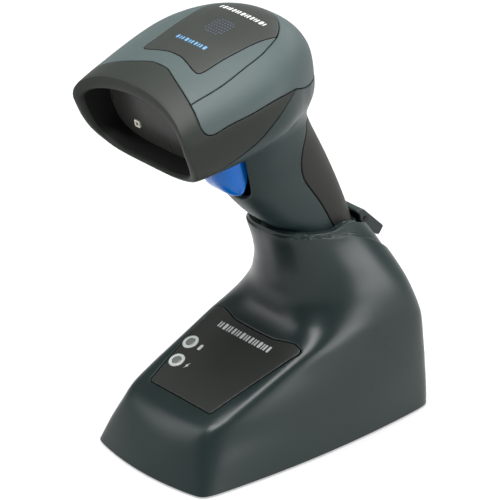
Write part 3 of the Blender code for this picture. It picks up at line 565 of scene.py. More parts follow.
def finished(name, half, material, body, nodes, closed=True, angle=40, cutters=()):
    """Mirrors a half, welds it, gives it an inside, and makes it ride."""
    points, inward = np.concatenate(half.points), np.concatenate(half.inward)
    faces = np.concatenate(half.faces)
    points[np.abs(points[:, 0]) < 0.02, 0] = 0
    both = np.concatenate([points, points * (-1, 1, 1)])
    ways = np.concatenate([inward, inward * (-1, 1, 1)])
    faces = np.concatenate([faces, faces[:, ::-1] + len(points)])
    keys = np.round(both / 0.012).astype(np.int64)
    _, first, index = np.unique(keys, axis=0, return_index=True, return_inverse=True)
    index = index.reshape(-1)
    faces = index[faces]
    faces = faces[(faces[:, 0] != faces[:, 1]) & (faces[:, 1] != faces[:, 2]) & (faces[:, 0] != faces[:, 2])]
    both, total = both[first], np.zeros_like(ways[first])
    np.add.at(total, index, ways)
    length = np.maximum(np.linalg.norm(total, axis=1), 1e-9)
    reach = np.linalg.norm(ways[first], axis=1)
    ways = total / length[:, None] * reach[:, None]
    if closed:
        ends = np.concatenate([faces[:, [0, 1]], faces[:, [1, 2]], faces[:, [2, 0]]])
        keys = np.sort(ends, axis=1)
        _, where, number = np.unique(keys, axis=0, return_index=True, return_counts=True)
        border = ends[where[number == 1]]
        n = len(both)
        both = np.concatenate([both, both + ways])
        rim = [(b, a, a + n, b + n) for a, b in border.tolist()]
        faces = faces.tolist() + (faces[:, ::-1] + n).tolist() + rim
    else:
        faces = faces.tolist()
    made = object_of(name, both, faces, material, angle=angle)
    for outline, near, far in cutters:
        cut_away(made, prism(outline, near, far))
    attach(made, body)
    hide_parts(*nodes)
    return made


# ------------------------------------------------------------------------------- surfaces of the shells

def head_ring(values, count, dense=160):
    """Right half of a head section, from the top's middle to the bottom's."""
    s, half_width, top, bottom, lead, square_top, square_bottom, line = values
    c, n = quarter(max(square_top, 1.6), dense)
    w = [half_width * c[::-1]]
    h = [line + (top - line) * n[::-1]]
    c, n = quarter(max(square_bottom, 1.6), dense)
    w.append(half_width * c[1:])
    h.append(line - (line - bottom) * n[1:])
    w, h = np.concatenate(w), np.concatenate(h)
    fall = np.clip((h + 13) / 18, 0, 1) ** 0.7
    ring = head_point(s - lead * fall * (w / 32) ** 2.4, w, h)
    return evenly(ring, count)


def head_skin(columns=300, length=62.0, step=0.3):
    table = np.array(HEAD)
    along = distances(table[:, :3] * (1, 0.7, 0.7))
    outside = cubic(along, table)
    u = np.arange(0, along[-1], step)
    u = np.append(u, along[-1])
    rows = [head_ring(row, columns) for row in outside(u)]
    rows[-1] = np.repeat(rows[-1][:1], columns, axis=0)
    mouth = np.array(MOUTH)
    reach = distances(mouth[:, :1])
    inner_u = np.arange(0, reach[-1] + 1e-6, 0.4)
    inner = [head_ring(row, columns) for row in monotone(reach, mouth, inner_u)]
    # the lip: an arc from the mouth's edge over the corner and on to the outside
    ahead = head_point(-0.5, 0, 0) - head_point(0.0, 0, 0)
    inner_edge, corner_ring, outside_ring = inner[-1] + ahead, rows[0] + ahead, rows[LIP_ROWS]
    lip = [(1 - t) ** 2 * inner_edge + 2 * t * (1 - t) * corner_ring + t * t * outside_ring
           for t in np.linspace(0, 1, 30)]
    table_rows = np.array(inner[:-1] + lip + rows[LIP_ROWS + 1:])
    first, last = len(inner) - 3, len(inner) + 4
    for _ in range(6):
        part = table_rows[first:last]
        table_rows[first + 1:last - 1] = (part[:-2] + 2 * part[1:-1] + part[2:]) / 4
    middle_column = table_rows[:, columns // 2]
    lengths = distances(middle_column)
    zero = len(inner) + len(lip) - 2
    return Skin(table_rows, lengths - lengths[zero], length), lengths[first] - lengths[zero]


def handle_stations():
    stations = []
    for along, front, back, half_width in HANDLE_DOCKED:
        ends = [dock_point(along, 0, e)[1:] for e in (front, back)]
        stations.append((*ends[0], *ends[1], half_width, 2.6))
    stations.append((*HANDLE_RIM[0], *HANDLE_RIM[1], *HANDLE_RIM[2:]))
    stations += [(*a, *b, w, n) for a, b, w, n in HANDLE_TOP]
    return np.array(stations)


def handle_ring(values, count, inset=0.0, drop=0.0, dense=160):
    """Right half of a handle section, from the back's middle to the front's."""
    front, back, half_width, square = values[:2], values[2:4], values[4], values[5]
    reach, middle = (back - front) / 2, (back + front) / 2
    size = np.linalg.norm(reach)
    c, n = quarter(square, dense)
    w = np.concatenate([c[::-1], c[1:]]) * (half_width - inset)
    e = np.concatenate([n[::-1], -n[1:]]) * (1 - inset / size)
    down = np.array([math.sin(DOCK_LEAN), -math.cos(DOCK_LEAN)]) * drop
    yz = middle + e[:, None] * reach + down
    return evenly(np.column_stack([w, yz]), count)


def handle_spline():
    table = handle_stations()
    along = distances((table[:, :2] + table[:, 2:4]) / 2)
    return cubic(along, table), along[-1]


def handle_skin(columns=260, length=52.0):
    spline, end = handle_spline()
    u = np.arange(0, end + 1e-6, 0.4)
    rows = [handle_ring(row, columns) for row in spline(u)]
    foot = spline(0.0)[0]
    under = []
    for t in np.linspace(0, 1, 7)[1:]:
        turn = t * math.pi / 2
        under.append(handle_ring(foot, columns, 1.2 * (1 - math.cos(turn)), 1.2 * math.sin(turn)))
    for inset in (1.6, 2.2):
        under.append(handle_ring(foot, columns, inset, 1.2))
    rows = [row - (0, 1.2 * math.sin(DOCK_LEAN), -1.2 * math.cos(DOCK_LEAN)) for row in under[::-1]] + rows[3:]
    # the first three outer rows give way to the rounded foot
    rows = np.array(rows)
    lengths = distances(rows[:, columns // 2])
    return Skin(rows, lengths, length), spline, end


# ---------------------------------------------------------------------------------------- materials

def nodes_of(material):
    tree = material.node_tree
    return tree, tree.nodes["Principled BSDF"]


def plastic(name, colour, roughness, grain=0.04, grain_size=0.35, mottle=0.06, coat=0.0, spread=0.05,
            specular=0.5):
    """A moulded plastic or rubber: fine grain in the bump, faint blotches in colour and gloss."""
    material = bpy.data.materials.new(name)
    material.use_nodes = True
    tree, shader = nodes_of(material)
    add = tree.nodes.new
    where = add("ShaderNodeTexCoord")
    shader.inputs["Specular IOR Level"].default_value = specular
    shader.inputs["Coat Weight"].default_value = coat
    shader.inputs["Coat Roughness"].default_value = 0.12
    fine = add("ShaderNodeTexNoise")
    fine.inputs["Scale"].default_value = 1 / (grain_size * MM)
    fine.inputs["Detail"].default_value = 3.0
    fine.inputs["Roughness"].default_value = 0.6
    broad = add("ShaderNodeTexNoise")
    broad.inputs["Scale"].default_value = 45.0
    broad.inputs["Detail"].default_value = 4.0
    bump = add("ShaderNodeBump")
    bump.inputs["Strength"].default_value = 1.0
    bump.inputs["Distance"].default_value = grain * MM
    tree.links.new(where.outputs["Object"], fine.inputs["Vector"])
    tree.links.new(where.outputs["Object"], broad.inputs["Vector"])
    tree.links.new(fine.outputs["Fac"], bump.inputs["Height"])
    tree.links.new(bump.outputs["Normal"], shader.inputs["Normal"])
    tint = add("ShaderNodeMapRange")
    tint.inputs["From Min"].default_value = 0.3
    tint.inputs["From Max"].default_value = 0.7
    tint.inputs["To Min"].default_value = 1 - mottle
    tint.inputs["To Max"].default_value = 1 + mottle
    tree.links.new(broad.outputs["Fac"], tint.inputs["Value"])
    scaled = add("ShaderNodeVectorMath")
    scaled.operation = "SCALE"
    scaled.inputs[0].default_value = colour
    tree.links.new(tint.outputs["Result"], scaled.inputs["Scale"])
    tree.links.new(scaled.outputs["Vector"], shader.inputs["Base Color"])
    gloss = add("ShaderNodeMapRange")
    gloss.inputs["To Min"].default_value = max(roughness - spread, 0.02)
    gloss.inputs["To Max"].default_value = roughness + spread
    gloss.inputs["From Min"].default_value = 0.3
    gloss.inputs["From Max"].default_value = 0.7
    mixed = add("ShaderNodeMath")
    mixed.operation = "MULTIPLY_ADD"
    mixed.inputs[1].default_value = 0.5
    half_fine = add("ShaderNodeMath")
    half_fine.operation = "MULTIPLY"
    half_fine.inputs[1].default_value = 0.5
    tree.links.new(fine.outputs["Fac"], half_fine.inputs[0])
    tree.links.new(broad.outputs["Fac"], mixed.inputs[0])
    tree.links.new(half_fine.outputs["Value"], mixed.inputs[2])
    tree.links.new(mixed.outputs["Value"], gloss.inputs["Value"])
    tree.links.new(gloss.outputs["Result"], shader.inputs["Roughness"])
    return material


def metal(name, colour, roughness):
    material = plastic(name, colour, roughness, grain=0.01, grain_size=0.15, mottle=0.04)
    material.node_tree.nodes["Principled BSDF"].inputs["Metallic"].default_value = 1.0
    return material


M = {
    "cover": plastic("cover_plastic", (0.046, 0.062, 0.062), 0.52, grain=0.012, grain_size=0.3, specular=0.2),
    "housing": plastic("housing_plastic", (0.0115, 0.0225, 0.0225), 0.42, grain=0.012, grain_size=0.3,
                       specular=0.25),
    "cradle": plastic("cradle_plastic", (0.0095, 0.0175, 0.0168), 0.31, grain=0.006, grain_size=0.3,
                      specular=0.3),
    "rubber": plastic("nose_rubber", (0.0195, 0.0225, 0.0195), 0.5, grain=0.02, grain_size=0.25,
                      specular=0.15),
    "grip": plastic("grip_rubber", (0.0105, 0.0112, 0.009), 0.5, grain=0.03, grain_size=0.3, specular=0.2),
    "label": plastic("label_film", (0.025, 0.028, 0.0255), 0.45, specular=0.2, grain=0.006, grain_size=0.25),
    "deck": plastic("deck_film", (0.0175, 0.0195, 0.0175), 0.40, specular=0.3, grain=0.006, grain_size=0.25),
    "aimer": plastic("cream_frame", (0.75, 0.72, 0.60), 0.4, grain=0.002),
    "dots": plastic("print_grey_blue", (0.05, 0.06, 0.10), 0.5, grain=0.002),
    "trigger": plastic("trigger_gloss", (0.0, 0.095, 0.38), 0.13, grain=0.001, grain_size=0.6, specular=0.28),
    "black": plastic("black_plastic", (0.003, 0.003, 0.003), 0.6, grain=0.02, specular=0.2),
    "foot": plastic("foot_rubber", (0.012, 0.012, 0.012), 0.8, grain=0.04),
    "light": plastic("white_plastic", (0.45, 0.48, 0.45), 0.35, grain=0.004),
    "lens": plastic("lens_grey", (0.13, 0.14, 0.135), 0.25, grain=0.004, coat=0.4),
    "grey": plastic("cell_wrap", (0.3, 0.32, 0.31), 0.35),
    "board": plastic("solder_mask", (0.01, 0.09, 0.035), 0.4, grain=0.03, grain_size=0.8, mottle=0.2),
    "steel": metal("zinc_steel", (0.55, 0.56, 0.57), 0.3),
    "dark_steel": metal("black_steel", (0.03, 0.03, 0.03), 0.45),
    "gold": metal("gold_plate", (0.9, 0.62, 0.25), 0.25),
    "mark": plastic("print_white", (0.45, 0.47, 0.47), 0.5, grain=0.002),
    "mark_blue": plastic("print_blue", (0.08, 0.20, 0.34), 0.5, grain=0.002),
    "window": plastic("window_tint", (0.030, 0.031, 0.029), 0.3, grain=0.0003, grain_size=5.0, mottle=0.02,
                      specular=0.15),
}


SLOTS = {
    "housing_plastic": "housing", "cradle_plastic": "cradle", "soft_rubber": "rubber",
    "label_plastic": "label",
    "trigger_plastic": "trigger", "black_plastic": "black", "window_plastic": "window",
    "light_plastic": "light",
    "grey_plastic": "grey", "board_green": "board", "steel": "steel", "gold": "gold", "foot_rubber": "foot",
}
UNLIKE_THEIR_SLOT = {"latch_pin": "dark_steel", "docking_cup": "cradle"}
for part in frame["record"]["subparts"]:
    node = frame["nodes"][part["node"]]
    node.data.materials.clear()
    node.data.materials.append(M[UNLIKE_THEIR_SLOT.get(part["node"], SLOTS[part["material_slot"]])])


# --------------------------------------------------------------------------------------------- head

head, FUNNEL_END = head_skin()
head.floor = 0.3
END = head.u[-1]


def middle(v_end, start, stop, spacing=1.4):
    """A straight run along a middle line, from one u to another."""
    count = max(int(abs(stop - start) / spacing), 1) + 1
    u = np.linspace(start, stop, count)
    return np.stack([u, np.full(count, v_end)], axis=1)


def on_line(line, end, value):
    line[end, 1] = value
    return line


bezel = on_line(head.line(BEZEL + COVER_SIDE, side_of_head), 0, 0.0)
rear = head.line((COVER_SIDE[-1],) + COVER_BACK, side_of_head)
rear = rear[rear[:, 1] > 0.3]
rear = np.vstack([rear, [[rear[-1, 0] + 0.2, 0.0]]])
under = head.line(BUMPER_SIDE, side_of_head)
under = on_line(under, -1, head.length)
insert_line = head.line(INSERT_SIDE, plan_of_head, columns=(0, 0.5))
label_line = head.line(LABEL_FRONT + LABEL_SIDE, plan_of_head, columns=(0, 0.5))
label_line = on_line(label_line, 0, 0.0)
arch = on_line(head.line(LABEL_ARCH, plan_of_head, columns=(0, 0.5)), -1, 0.0)

# where the insert's edge meets the bezel
corner = int(np.argmin(np.linalg.norm(head.at(bezel)[:, None] - head.at(insert_line)[None], axis=2).min(1)))
touch = int(np.argmin(np.linalg.norm(head.at(insert_line) - head.at(bezel[corner:corner + 1]), axis=1)))
insert_line = np.vstack([bezel[corner], insert_line[touch + 1:]])
insert_line = head.spaced(insert_line, 0.7)
L = head.length

nose, funnel = Half(), Half()
rim_u = float(FUNNEL_END)          # where the black inside ends and the rubber lip begins
deep_u = head.u[0] + 0.2
patch(funnel, head, [
    (middle(0.0, deep_u, rim_u), False),
    (np.stack([np.full(60, rim_u), np.linspace(0, L, 60)], 1), False),
    (middle(L, rim_u, deep_u), False),
    (np.stack([np.full(60, deep_u), np.linspace(L, 0, 60)], 1), False),
], spacing=1.6, wall=1.2)
finished("mouth_funnel_skin", funnel, M["black"], "scanner", ["mouth_funnel"])
patch(nose, head, [
    (middle(0.0, bezel[0, 0], rim_u), False),
    (np.stack([np.full(60, rim_u), np.linspace(0, L, 60)], 1), False),
    (middle(L, rim_u, under[-1, 0]), False),
    (under[::-1], True),
    (bezel[::-1], True),
], spacing=1.2)
finished("nose_bumper_skin", nose, M["rubber"], "scanner", ["nose_bumper"])

cover = Half()
patch(cover, head, [
    (bezel[corner:], True),
    (rear, True),
    (middle(0.0, rear[-1, 0], arch[-1, 0]), False),
    (arch[::-1], True),
    (insert_line[::-1], True),
])
finished("top_cover_skin", cover, M["cover"], "scanner", ["top_cover"])

insert = Half()
patch(insert, head, [
    (bezel[:corner + 1], True),
    (insert_line, True),
    (label_line[::-1], True),
    (middle(0.0, label_line[0, 0], bezel[0, 0]), False),
])
finished("top_insert_skin", insert, M["cover"], "scanner", ["top_insert"])

plate = Half()
patch(plate, head, [
    (label_line, True),
    (arch, True),
    (middle(0.0, arch[-1, 0], label_line[0, 0]), False),
], radius=0.25)
finished("top_label_skin", plate, M["label"], "scanner", ["top_label_plate"])


# the window, a pane across the mouth, and the square outlet of the aiming light on it
WINDOW = (-24.6, 27.0, 12.8, -12.3, 0.0, 1.9, 3.3, 5.0)
pane = Half()
ring = head_ring(WINDOW, 90)
BULGE = 0.35                        # how far the pane's middle stands forward of its edge
rings, inner = [], head_point(WINDOW[0], 0, 0.3)
backwards = head_point(1.0, 0, 0) - head_point(0, 0, 0)
for share in (1.0, 0.97, 0.8, 0.6, 0.4, 0.2):
    rings.append(inner + (ring - inner) * share - backwards * BULGE * (1 - share ** 2))
points = np.concatenate(rings + [rings[-1][:1] * 0 + inner - backwards * BULGE])
quads = [(i * 90 + j, i * 90 + j + 1, (i + 1) * 90 + j + 1, (i + 1) * 90 + j)
         for i in range(5) for j in range(89)]
tris = [t for q in quads for t in ((q[0], q[1], q[2]), (q[0], q[2], q[3]))]
tris += [(5 * 90 + j, 5 * 90 + j + 1, 6 * 90) for j in range(89)]
back_way = np.tile(backwards, (len(points), 1)) * 1.3
tris = np.array(tris)
a, b, c = (points[tris[:, i]] for i in range(3))
if (np.cross(b - a, c - a) * back_way[0]).sum() > 0:
    tris = tris[:, ::-1]
pane.add(points, back_way, tris)
finished("scan_window_skin", pane, M["window"], "scanner", ["scan_window"])


def mouth_piece(name, w, h, half, hole, material, nodes, depth=(-25.5, -24.3)):
    """A small square frame, or a plate if hole is 0, standing on the window."""
    outer = [(w + a * half, h + b * half) for a, b in ((-1, -0.8), (-0.8, -1), (0.8, -1), (1, -0.8), (1, 0.8),
                                                     (0.8, 1), (-0.8, 1), (-1, 0.8))]
    points = [head_point(s, x, y) for s in depth for x, y in outer]
    faces = [(i, (i + 1) % 8, (i + 1) % 8 + 8, i + 8) for i in range(8)]
    if hole:
        small = [(w + (x - w) * hole, h + (y - h) * hole) for x, y in outer]
        points += [head_point(s, x, y) for s in depth for x, y in small]
        faces += [((i + 1) % 8 + 16, i + 16, i + 24, (i + 1) % 8 + 24) for i in range(8)]
        faces += [(i + 16, (i + 1) % 8 + 16, (i + 1) % 8, i) for i in range(8)]
        faces += [(i + 8, (i + 1) % 8 + 8, (i + 1) % 8 + 24, i + 24) for i in range(8)]
    else:
        faces += [tuple(range(8))[::-1], tuple(range(8, 16))]
    made = object_of(name, points, faces, material, angle=30)
    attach(made, "scanner")
    if nodes:
        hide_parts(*nodes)
    return made


mouth_piece("aimer_frame", -12.4, -5.6, 1.45, 0.55, M["aimer"], ["aimer_aperture"])
mouth_piece("aimer_middle", -12.4, -5.6, 0.84, 0, M["lens"], [], (-25.2, -24.4))


# ------------------------------------------------------------------------------ housing and handle

handle, handle_values, handle_end = handle_skin()
HL = handle.length


def head_field(p):
    """Rough distance outside the head, negative inside."""
    s, w, h = head_seen(p)
    table = np.array(HEAD)
    fall = np.clip((h + 13) / 18, 0, 1) ** 0.7
    s = s + np.interp(s, table[:, 0], table[:, 4]) * fall * (np.abs(w) / 32) ** 2.4
    values = [np.interp(s, table[:, 0], table[:, i]) for i in range(8)]
    _, half_width, top, bottom, _, nt, nb, line = values
    above = h >= line
    n = np.where(above, nt, nb)
    rise = np.where(above, top - line, line - bottom)
    across, up = np.abs(w) / np.maximum(half_width, 0.5), np.abs(h - line) / np.maximum(rise, 0.5)
    q = (across ** n + up ** n) ** (1 / n)
    beyond = np.clip(s - 40.6, 0, None)
    return (q - 1) * np.maximum(np.minimum(half_width, rise), 5.0) + beyond


HANDLE_TABLE = handle_values(np.linspace(0, handle_end, 300))


def handle_field(p):
    """Rough distance outside the handle, negative inside."""
    t = HANDLE_TABLE
    middle_line, reach = (t[:, :2] + t[:, 2:4]) / 2, (t[:, 2:4] - t[:, :2]) / 2
    size = np.linalg.norm(reach, axis=1)
    along = reach / size[:, None]
    up = np.stack([-along[:, 1], along[:, 0]], axis=1)
    out = np.zeros(len(p))
    for low in range(0, len(p), 4000):
        block = p[low:low + 4000]
        apart = block[:, None, 1:] - middle_line[None]
        off = (apart * up[None]).sum(2)
        sign = off > 0
        row = np.clip(sign.sum(1) - 1, 0, len(t) - 2)
        index = np.arange(len(block))
        a, b = off[index, row], off[index, row + 1]
        share = np.clip(a / np.where(np.abs(a - b) < 1e-9, 1, a - b), 0, 1)

        def between(column):
            return column[row] * (1 - share) + column[row + 1] * share
        m = middle_line[row] * (1 - share)[:, None] + middle_line[row + 1] * share[:, None]
        d = along[row] * (1 - share)[:, None] + along[row + 1] * share[:, None]
        e = ((block[:, 1:] - m) * d).sum(1) / between(size)
        w = np.abs(block[:, 0]) / between(t[:, 4])
        n = between(t[:, 5])
        q = (w ** n + np.abs(e) ** n) ** (1 / n)
        out[low:low + 4000] = (q - 1) * np.minimum(between(t[:, 4]), between(size))
    return out


FILLET = 8.0


def joined_field(p):
    a, b = head_field(p), handle_field(p)
    h = np.clip(FILLET - np.abs(a - b), 0, None) / FILLET
    return np.minimum(a, b) - h * h * FILLET / 4


def gradient(field, p, reach=0.25):
    out = []
    for axis in range(3):
        step = np.zeros(3)
        step[axis] = reach
        out.append((field(p + step) - field(p - step)) / (2 * reach))
    return np.stack(out, axis=1)


def blended(place, normal):
    """Points near the join of head and handle moved onto the fillet."""
    place, normal = place.copy(), normal.copy()
    close = np.abs(head_field(place) - handle_field(place)) < FILLET + 1
    p = place[close]
    weight = np.clip((FILLET + 1 - np.abs(head_field(p) - handle_field(p))) / 2, 0, 1)[:, None]
    for _ in range(6):
        g = gradient(joined_field, p)
        size = np.maximum((g * g).sum(1), 1e-6)
        p = p - g * (np.clip(joined_field(p), -1.5, 1.5) / size)[:, None]
    g = gradient(joined_field, p)
    g /= np.maximum(np.linalg.norm(g, axis=1), 1e-9)[:, None]
    place[close] = place[close] * (1 - weight) + p * weight
    mixed = normal[close] * (1 - weight) + g * weight
    normal[close] = mixed / np.maximum(np.linalg.norm(mixed, axis=1), 1e-9)[:, None]
    return place, normal


def junction():
    """Where the handle's skin enters the head's, as places on both skins."""
    on_handle = []
    for v in np.linspace(0, HL, 70):
        u = np.linspace(handle.u[-1] * 0.55, handle.u[-1], 240)
        line = np.stack([u, np.full_like(u, v)], axis=1)
        values = head_field(handle.at(line))
        inner = np.nonzero(values <= 0)[0]
        i = inner[0] if len(inner) else len(u) - 1
        if i == 0:
            on_handle.append((u[0], v))
            continue
        a, b = values[i - 1], values[i]
        on_handle.append((u[i - 1] + (u[i] - u[i - 1]) * a / (a - b), v))
    on_handle = handle.spaced(np.array(on_handle), 1.0)
    places = handle.at(on_handle)
    seen = np.stack(head_seen(places), axis=-1)
    target = seen[:, [0, 2]]

    def flat(p):
        s, w, h = head_seen(p)
        return np.stack([s, np.arctan2(w, -h) * 18], axis=-1)
    round_the_head = np.arctan2(seen[:, 1], -seen[:, 2]) * 18
    on_head = head.locate(np.stack([target[:, 0], round_the_head], 1), flat, (0.4, 1.0))
    return on_handle, on_head


on_handle, on_head = junction()
on_head[0, 1] = on_head[-1, 1] = L

housing = Half()


def fitted_to(curve_uv, skin):
    """fit for a patch whose border curve has to meet the other skin's border exactly."""
    target = (handle.at(on_handle) + head.at(on_head)) / 2
    target, _ = blended(target, np.tile((0, 0, -1.0), (len(target), 1)))
    own = skin.at(curve_uv)

    def fit(place, normal):
        shift = kdtree.KDTree(len(own))
        for i, p in enumerate(own):
            shift.insert(p, i)
        shift.balance()
        found = [shift.find(p) for p in place]
        place, normal = blended(place, normal)
        for i, (_, which, gap) in enumerate(found):
            if gap < 0.01:
                place[i] = target[which]
        return place, normal
    return fit


patch(housing, head, [
    (under[::-1], True),
    (rear, True),
    (middle(0.0, rear[-1, 0], END), False),
    (np.stack([np.full(40, END), np.linspace(0, L, 40)], 1), False),
    (middle(L, END, on_head[0, 0]), False),
    (on_head, False),
    (middle(L, on_head[-1, 0], under[-1, 0]), False),
], spacing=1.3, fit=fitted_to(on_head, head))

grip_line = handle.line(GRIP_SIDE, side_view, columns=(0.0, 0.9))
back_u = handle.locate(np.array([[22.0, 130.5]]), side_view)[0, 0]
corner_uv = grip_line[0]
top_edge = np.stack([np.linspace(back_u, corner_uv[0], 24), np.linspace(0, corner_uv[1], 24)], axis=1)
grip_loop = np.vstack([top_edge[:-1], grip_line])
grip_loop = handle.spaced(grip_loop, 0.8)
grip_loop[0, 1] = 0.0
foot_u = 1.2
grip_loop = grip_loop[grip_loop[:, 0] > foot_u + 0.5]
grip_loop = np.vstack([grip_loop, [[0.0, grip_loop[-1, 1]]]])
grip_loop = handle.spaced(grip_loop, 0.8)

# the recess of the trigger, in front view: (x, z)
well = np.array([(0.0, WELL[0][1]), (7.0, WELL[0][1]), (9.6, WELL[0][1] - 0.9), (WELL[0][0], WELL[0][1] - 3.5),
                 (WELL[0][0], 112.0), (9.9, 107.0), (8.2, 103.6), (5.0, 102.1), (0.0, 101.8)])
well_line = handle.line(well, front_view, columns=(0.5, 1.0))
well_line[0, 1] = well_line[-1, 1] = HL

patch(housing, handle, [
    (on_handle[::-1], False),
    (middle(0.0, on_handle[0, 0], grip_loop[0, 0]), False),
    (grip_loop, True),
    (np.stack([np.full(30, 0.0), np.linspace(grip_loop[-1, 1] + 0.6, HL, 30)], 1), False),
    (middle(HL, 0.0, well_line[-1, 0]), False),
    (well_line[::-1], True),
    (middle(HL, well_line[0, 0], on_handle[-1, 0]), False),
], spacing=1.3, radius=0.4, fit=fitted_to(on_handle, handle))
finished("lower_housing_skin", housing, M["housing"], "scanner", ["lower_housing"])

grip = Half()
patch(grip, handle, [
    (grip_loop[::-1], True),
    (middle(0.0, grip_loop[0, 0], 0.0), False),
    (np.stack([np.full(20, 0.0), np.linspace(0, grip_loop[-1, 1] - 0.6, 20)], 1), False),
], spacing=1.3, radius=0.45)
finished("rear_grip_skin", grip, M["grip"], "scanner", ["rear_grip"])


# --------------------------------------------------------------------------------- trigger

def bar_of(name, outline, half_width, front_round, side_round, material, body, nodes, loop=None):
    """A bar across the scanner from a side outline, its front edges rounded more than the others."""
    if loop is None:
        loop = flowing(np.array(outline + outline[:1]), 0.5)[:-1]
    step = np.roll(loop, -1, 0) - np.roll(loop, 1, 0)
    normal = np.stack([step[:, 1], -step[:, 0]], axis=1)
    normal /= np.linalg.norm(normal, axis=1)[:, None]
    centre = loop.mean(0)
    if ((loop - centre) * normal).sum() < 0:
        normal = -normal
    facing = np.clip(np.hypot(np.clip(-normal[:, 0], 0, 1), 0.55 * np.clip(-normal[:, 1], 0, 1)), 0, 1) ** 1.5
    radius = side_round + (front_round - side_round) * facing
    places = np.concatenate([np.linspace(0, half_width - front_round, 5)[:-1],
                             half_width - front_round + front_round * np.sin(np.linspace(0, math.pi / 2, 12))])
    rows = []
    for x in np.concatenate([-places[::-1], places[1:]]):
        over = np.clip(abs(x) - (half_width - radius), 0, radius)
        inset = radius - np.sqrt(np.maximum(radius ** 2 - over ** 2, 0))
        rows.append(np.column_stack([np.full(len(loop), x), loop - normal * inset[:, None]]))
    points, n, faces = np.concatenate(rows), len(loop), []
    for i in range(len(rows) - 1):
        for j in range(n):
            k = (j + 1) % n
            faces.append((i * n + j, i * n + k, (i + 1) * n + k, (i + 1) * n + j))
    faces.append(tuple(range(n))[::-1])
    faces.append(tuple((len(rows) - 1) * n + j for j in range(n)))
    made = object_of(name, points, faces, material, angle=50)
    outward(made)
    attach(made, body)
    if nodes:
        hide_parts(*nodes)
    return made


TRIGGER = ((-9.6, 127), (-15, 127.4), (-19.9, 127.2), (-21.9, 122), (-21.4, 116.4), (-19.6, 111.6),
           (-17.0, 108.0), (-14.0, 105.6), (-11.2, 105.0), (-9.6, 107.2), (-8.4, 113), (-8.4, 121))
bar_of("trigger_skin", TRIGGER, 9.0, 7.6, 0.8, M["trigger"], "trigger", ["trigger"])


# ---------------------------------------------------------------------------------------- cradle

def cradle_ring(values, count, dense=220):
    """Right half of a level section, from the back's middle to the front's."""
    z, front, bow, back_y, w_front, w_mid, w_back, square_front, square_back = values
    c, n = quarter(square_back, dense)
    across = [c[::-1]]
    along = [n[::-1]]
    c, n = quarter(square_front, dense)
    across.append(c[1:])
    along.append(-n[1:])
    across, along = np.concatenate(across), np.concatenate(along)
    t = (along + 1) / 2
    x = (w_front * (1 - t) * (1 - 2 * t) + 4 * w_mid * t * (1 - t) + w_back * t * (2 * t - 1)) * across
    y = front + (back_y - front) * t - bow * np.clip(1 - (x / w_front) ** 2, 0, 1) * (1 - t) ** 2
    return evenly(np.column_stack([x, y, np.full_like(x, z)]), count)


def rim_level(y):
    line = flowing(np.array(RIM_LINE))
    return np.interp(y, line[:, 0], line[:, 1])


def cradle_skin(columns=420, length=130.0, step=0.4):
    table = np.array(CRADLE)
    ends = np.column_stack([table[:, 1], table[:, 3], table[:, 0]])
    front_run, back_run = distances(ends[:, [0, 2]]), distances(ends[:, [1, 2]])
    along = (front_run + back_run) / 2
    u = np.arange(0, along[-1] + step / 2, step)
    u[-1] = along[-1]
    values = monotone(along, table, u)
    pad = 14
    before = 2 * values[0] - values[1:pad + 1][::-1]
    after = 2 * values[-1] - values[-pad - 1:-1][::-1]
    longer = np.concatenate([before, values, after])
    weights = np.exp(-0.5 * (np.arange(-pad, pad + 1) / 2.6) ** 2)
    weights /= weights.sum()
    values = np.stack([np.convolve(longer[:, i], weights, "valid") for i in range(longer.shape[1])], axis=1)
    fine = np.concatenate([u[u < along[-1] - 17], np.arange(along[-1] - 17, along[-1] - 0.05, 0.16), u[-1:]])
    values = np.stack([np.interp(fine, u, values[:, i]) for i in range(values.shape[1])], axis=1)
    u = fine
    rows = np.array([cradle_ring(row, columns) for row in values])
    # the raised collar: the band under the rim stands back a little
    flat = np.cross(np.gradient(rows, axis=0), np.gradient(rows, axis=1))
    flat /= np.maximum(np.linalg.norm(flat, axis=2), 1e-9)[..., None]
    flat *= np.sign(flat[:, columns // 2, 0].mean())
    below = rim_level(rows[..., 1]) - rows[..., 2]
    deep = np.interp(rows[..., 1], (5, 13, 22, 26, 31, 41, 50), (1.3, 1.3, 1.6, 2.1, 3.5, 5.1, 5.6))
    share = np.clip((deep - below) / 0.7 + 0.5, 0, 1)
    rows = rows - flat * (0.85 * share * share * (3 - 2 * share))[..., None]
    made = Skin(rows, u, length)
    made.crease = []
    for rise in (-0.9, -0.45, -0.28, -0.1, 0.1, 0.28, 0.45, 0.9):
        line = []
        for j in range(0, columns, 4):
            over = (deep - below)[:, j] - rise
            first = int(np.argmax(over > 0))
            if 0 < first < len(u):
                part = over[first - 1] / (over[first - 1] - over[first])
                line.append((u[first - 1] + (u[first] - u[first - 1]) * part, j / (columns - 1) * length))
        made.crease.append(np.array(line))
    # more points where the upright front corner turns
    half_way = columns // 2
    for i in range(0, len(u), 3):
        ring = rows[i, half_way:, :2]
        way = np.diff(ring, axis=0)
        way /= np.linalg.norm(way, axis=1)[:, None]
        turn = np.abs(way[:-4, 0] * way[4:, 1] - way[:-4, 1] * way[4:, 0])
        if turn.max() > 0.25:
            place = (half_way + int(np.argmax(turn)) + 2.5) / (columns - 1) * length
            beside = (-1.3, -0.85, -0.5, -0.2, 0.1, 0.4, 0.75, 1.2)
            made.crease.append(np.array([(u[i], place + e) for e in beside]))
    return made


cradle = cradle_skin()
CL = cradle.length
TOP = cradle.u[-1]


def deck_view(p):
    return np.stack([p[..., 0], (p[..., 1] - DECK_FRONT[0]) * math.cos(DECK_SLOPE)
                     + (p[..., 2] - DECK_FRONT[1]) * math.sin(DECK_SLOPE)], axis=-1)


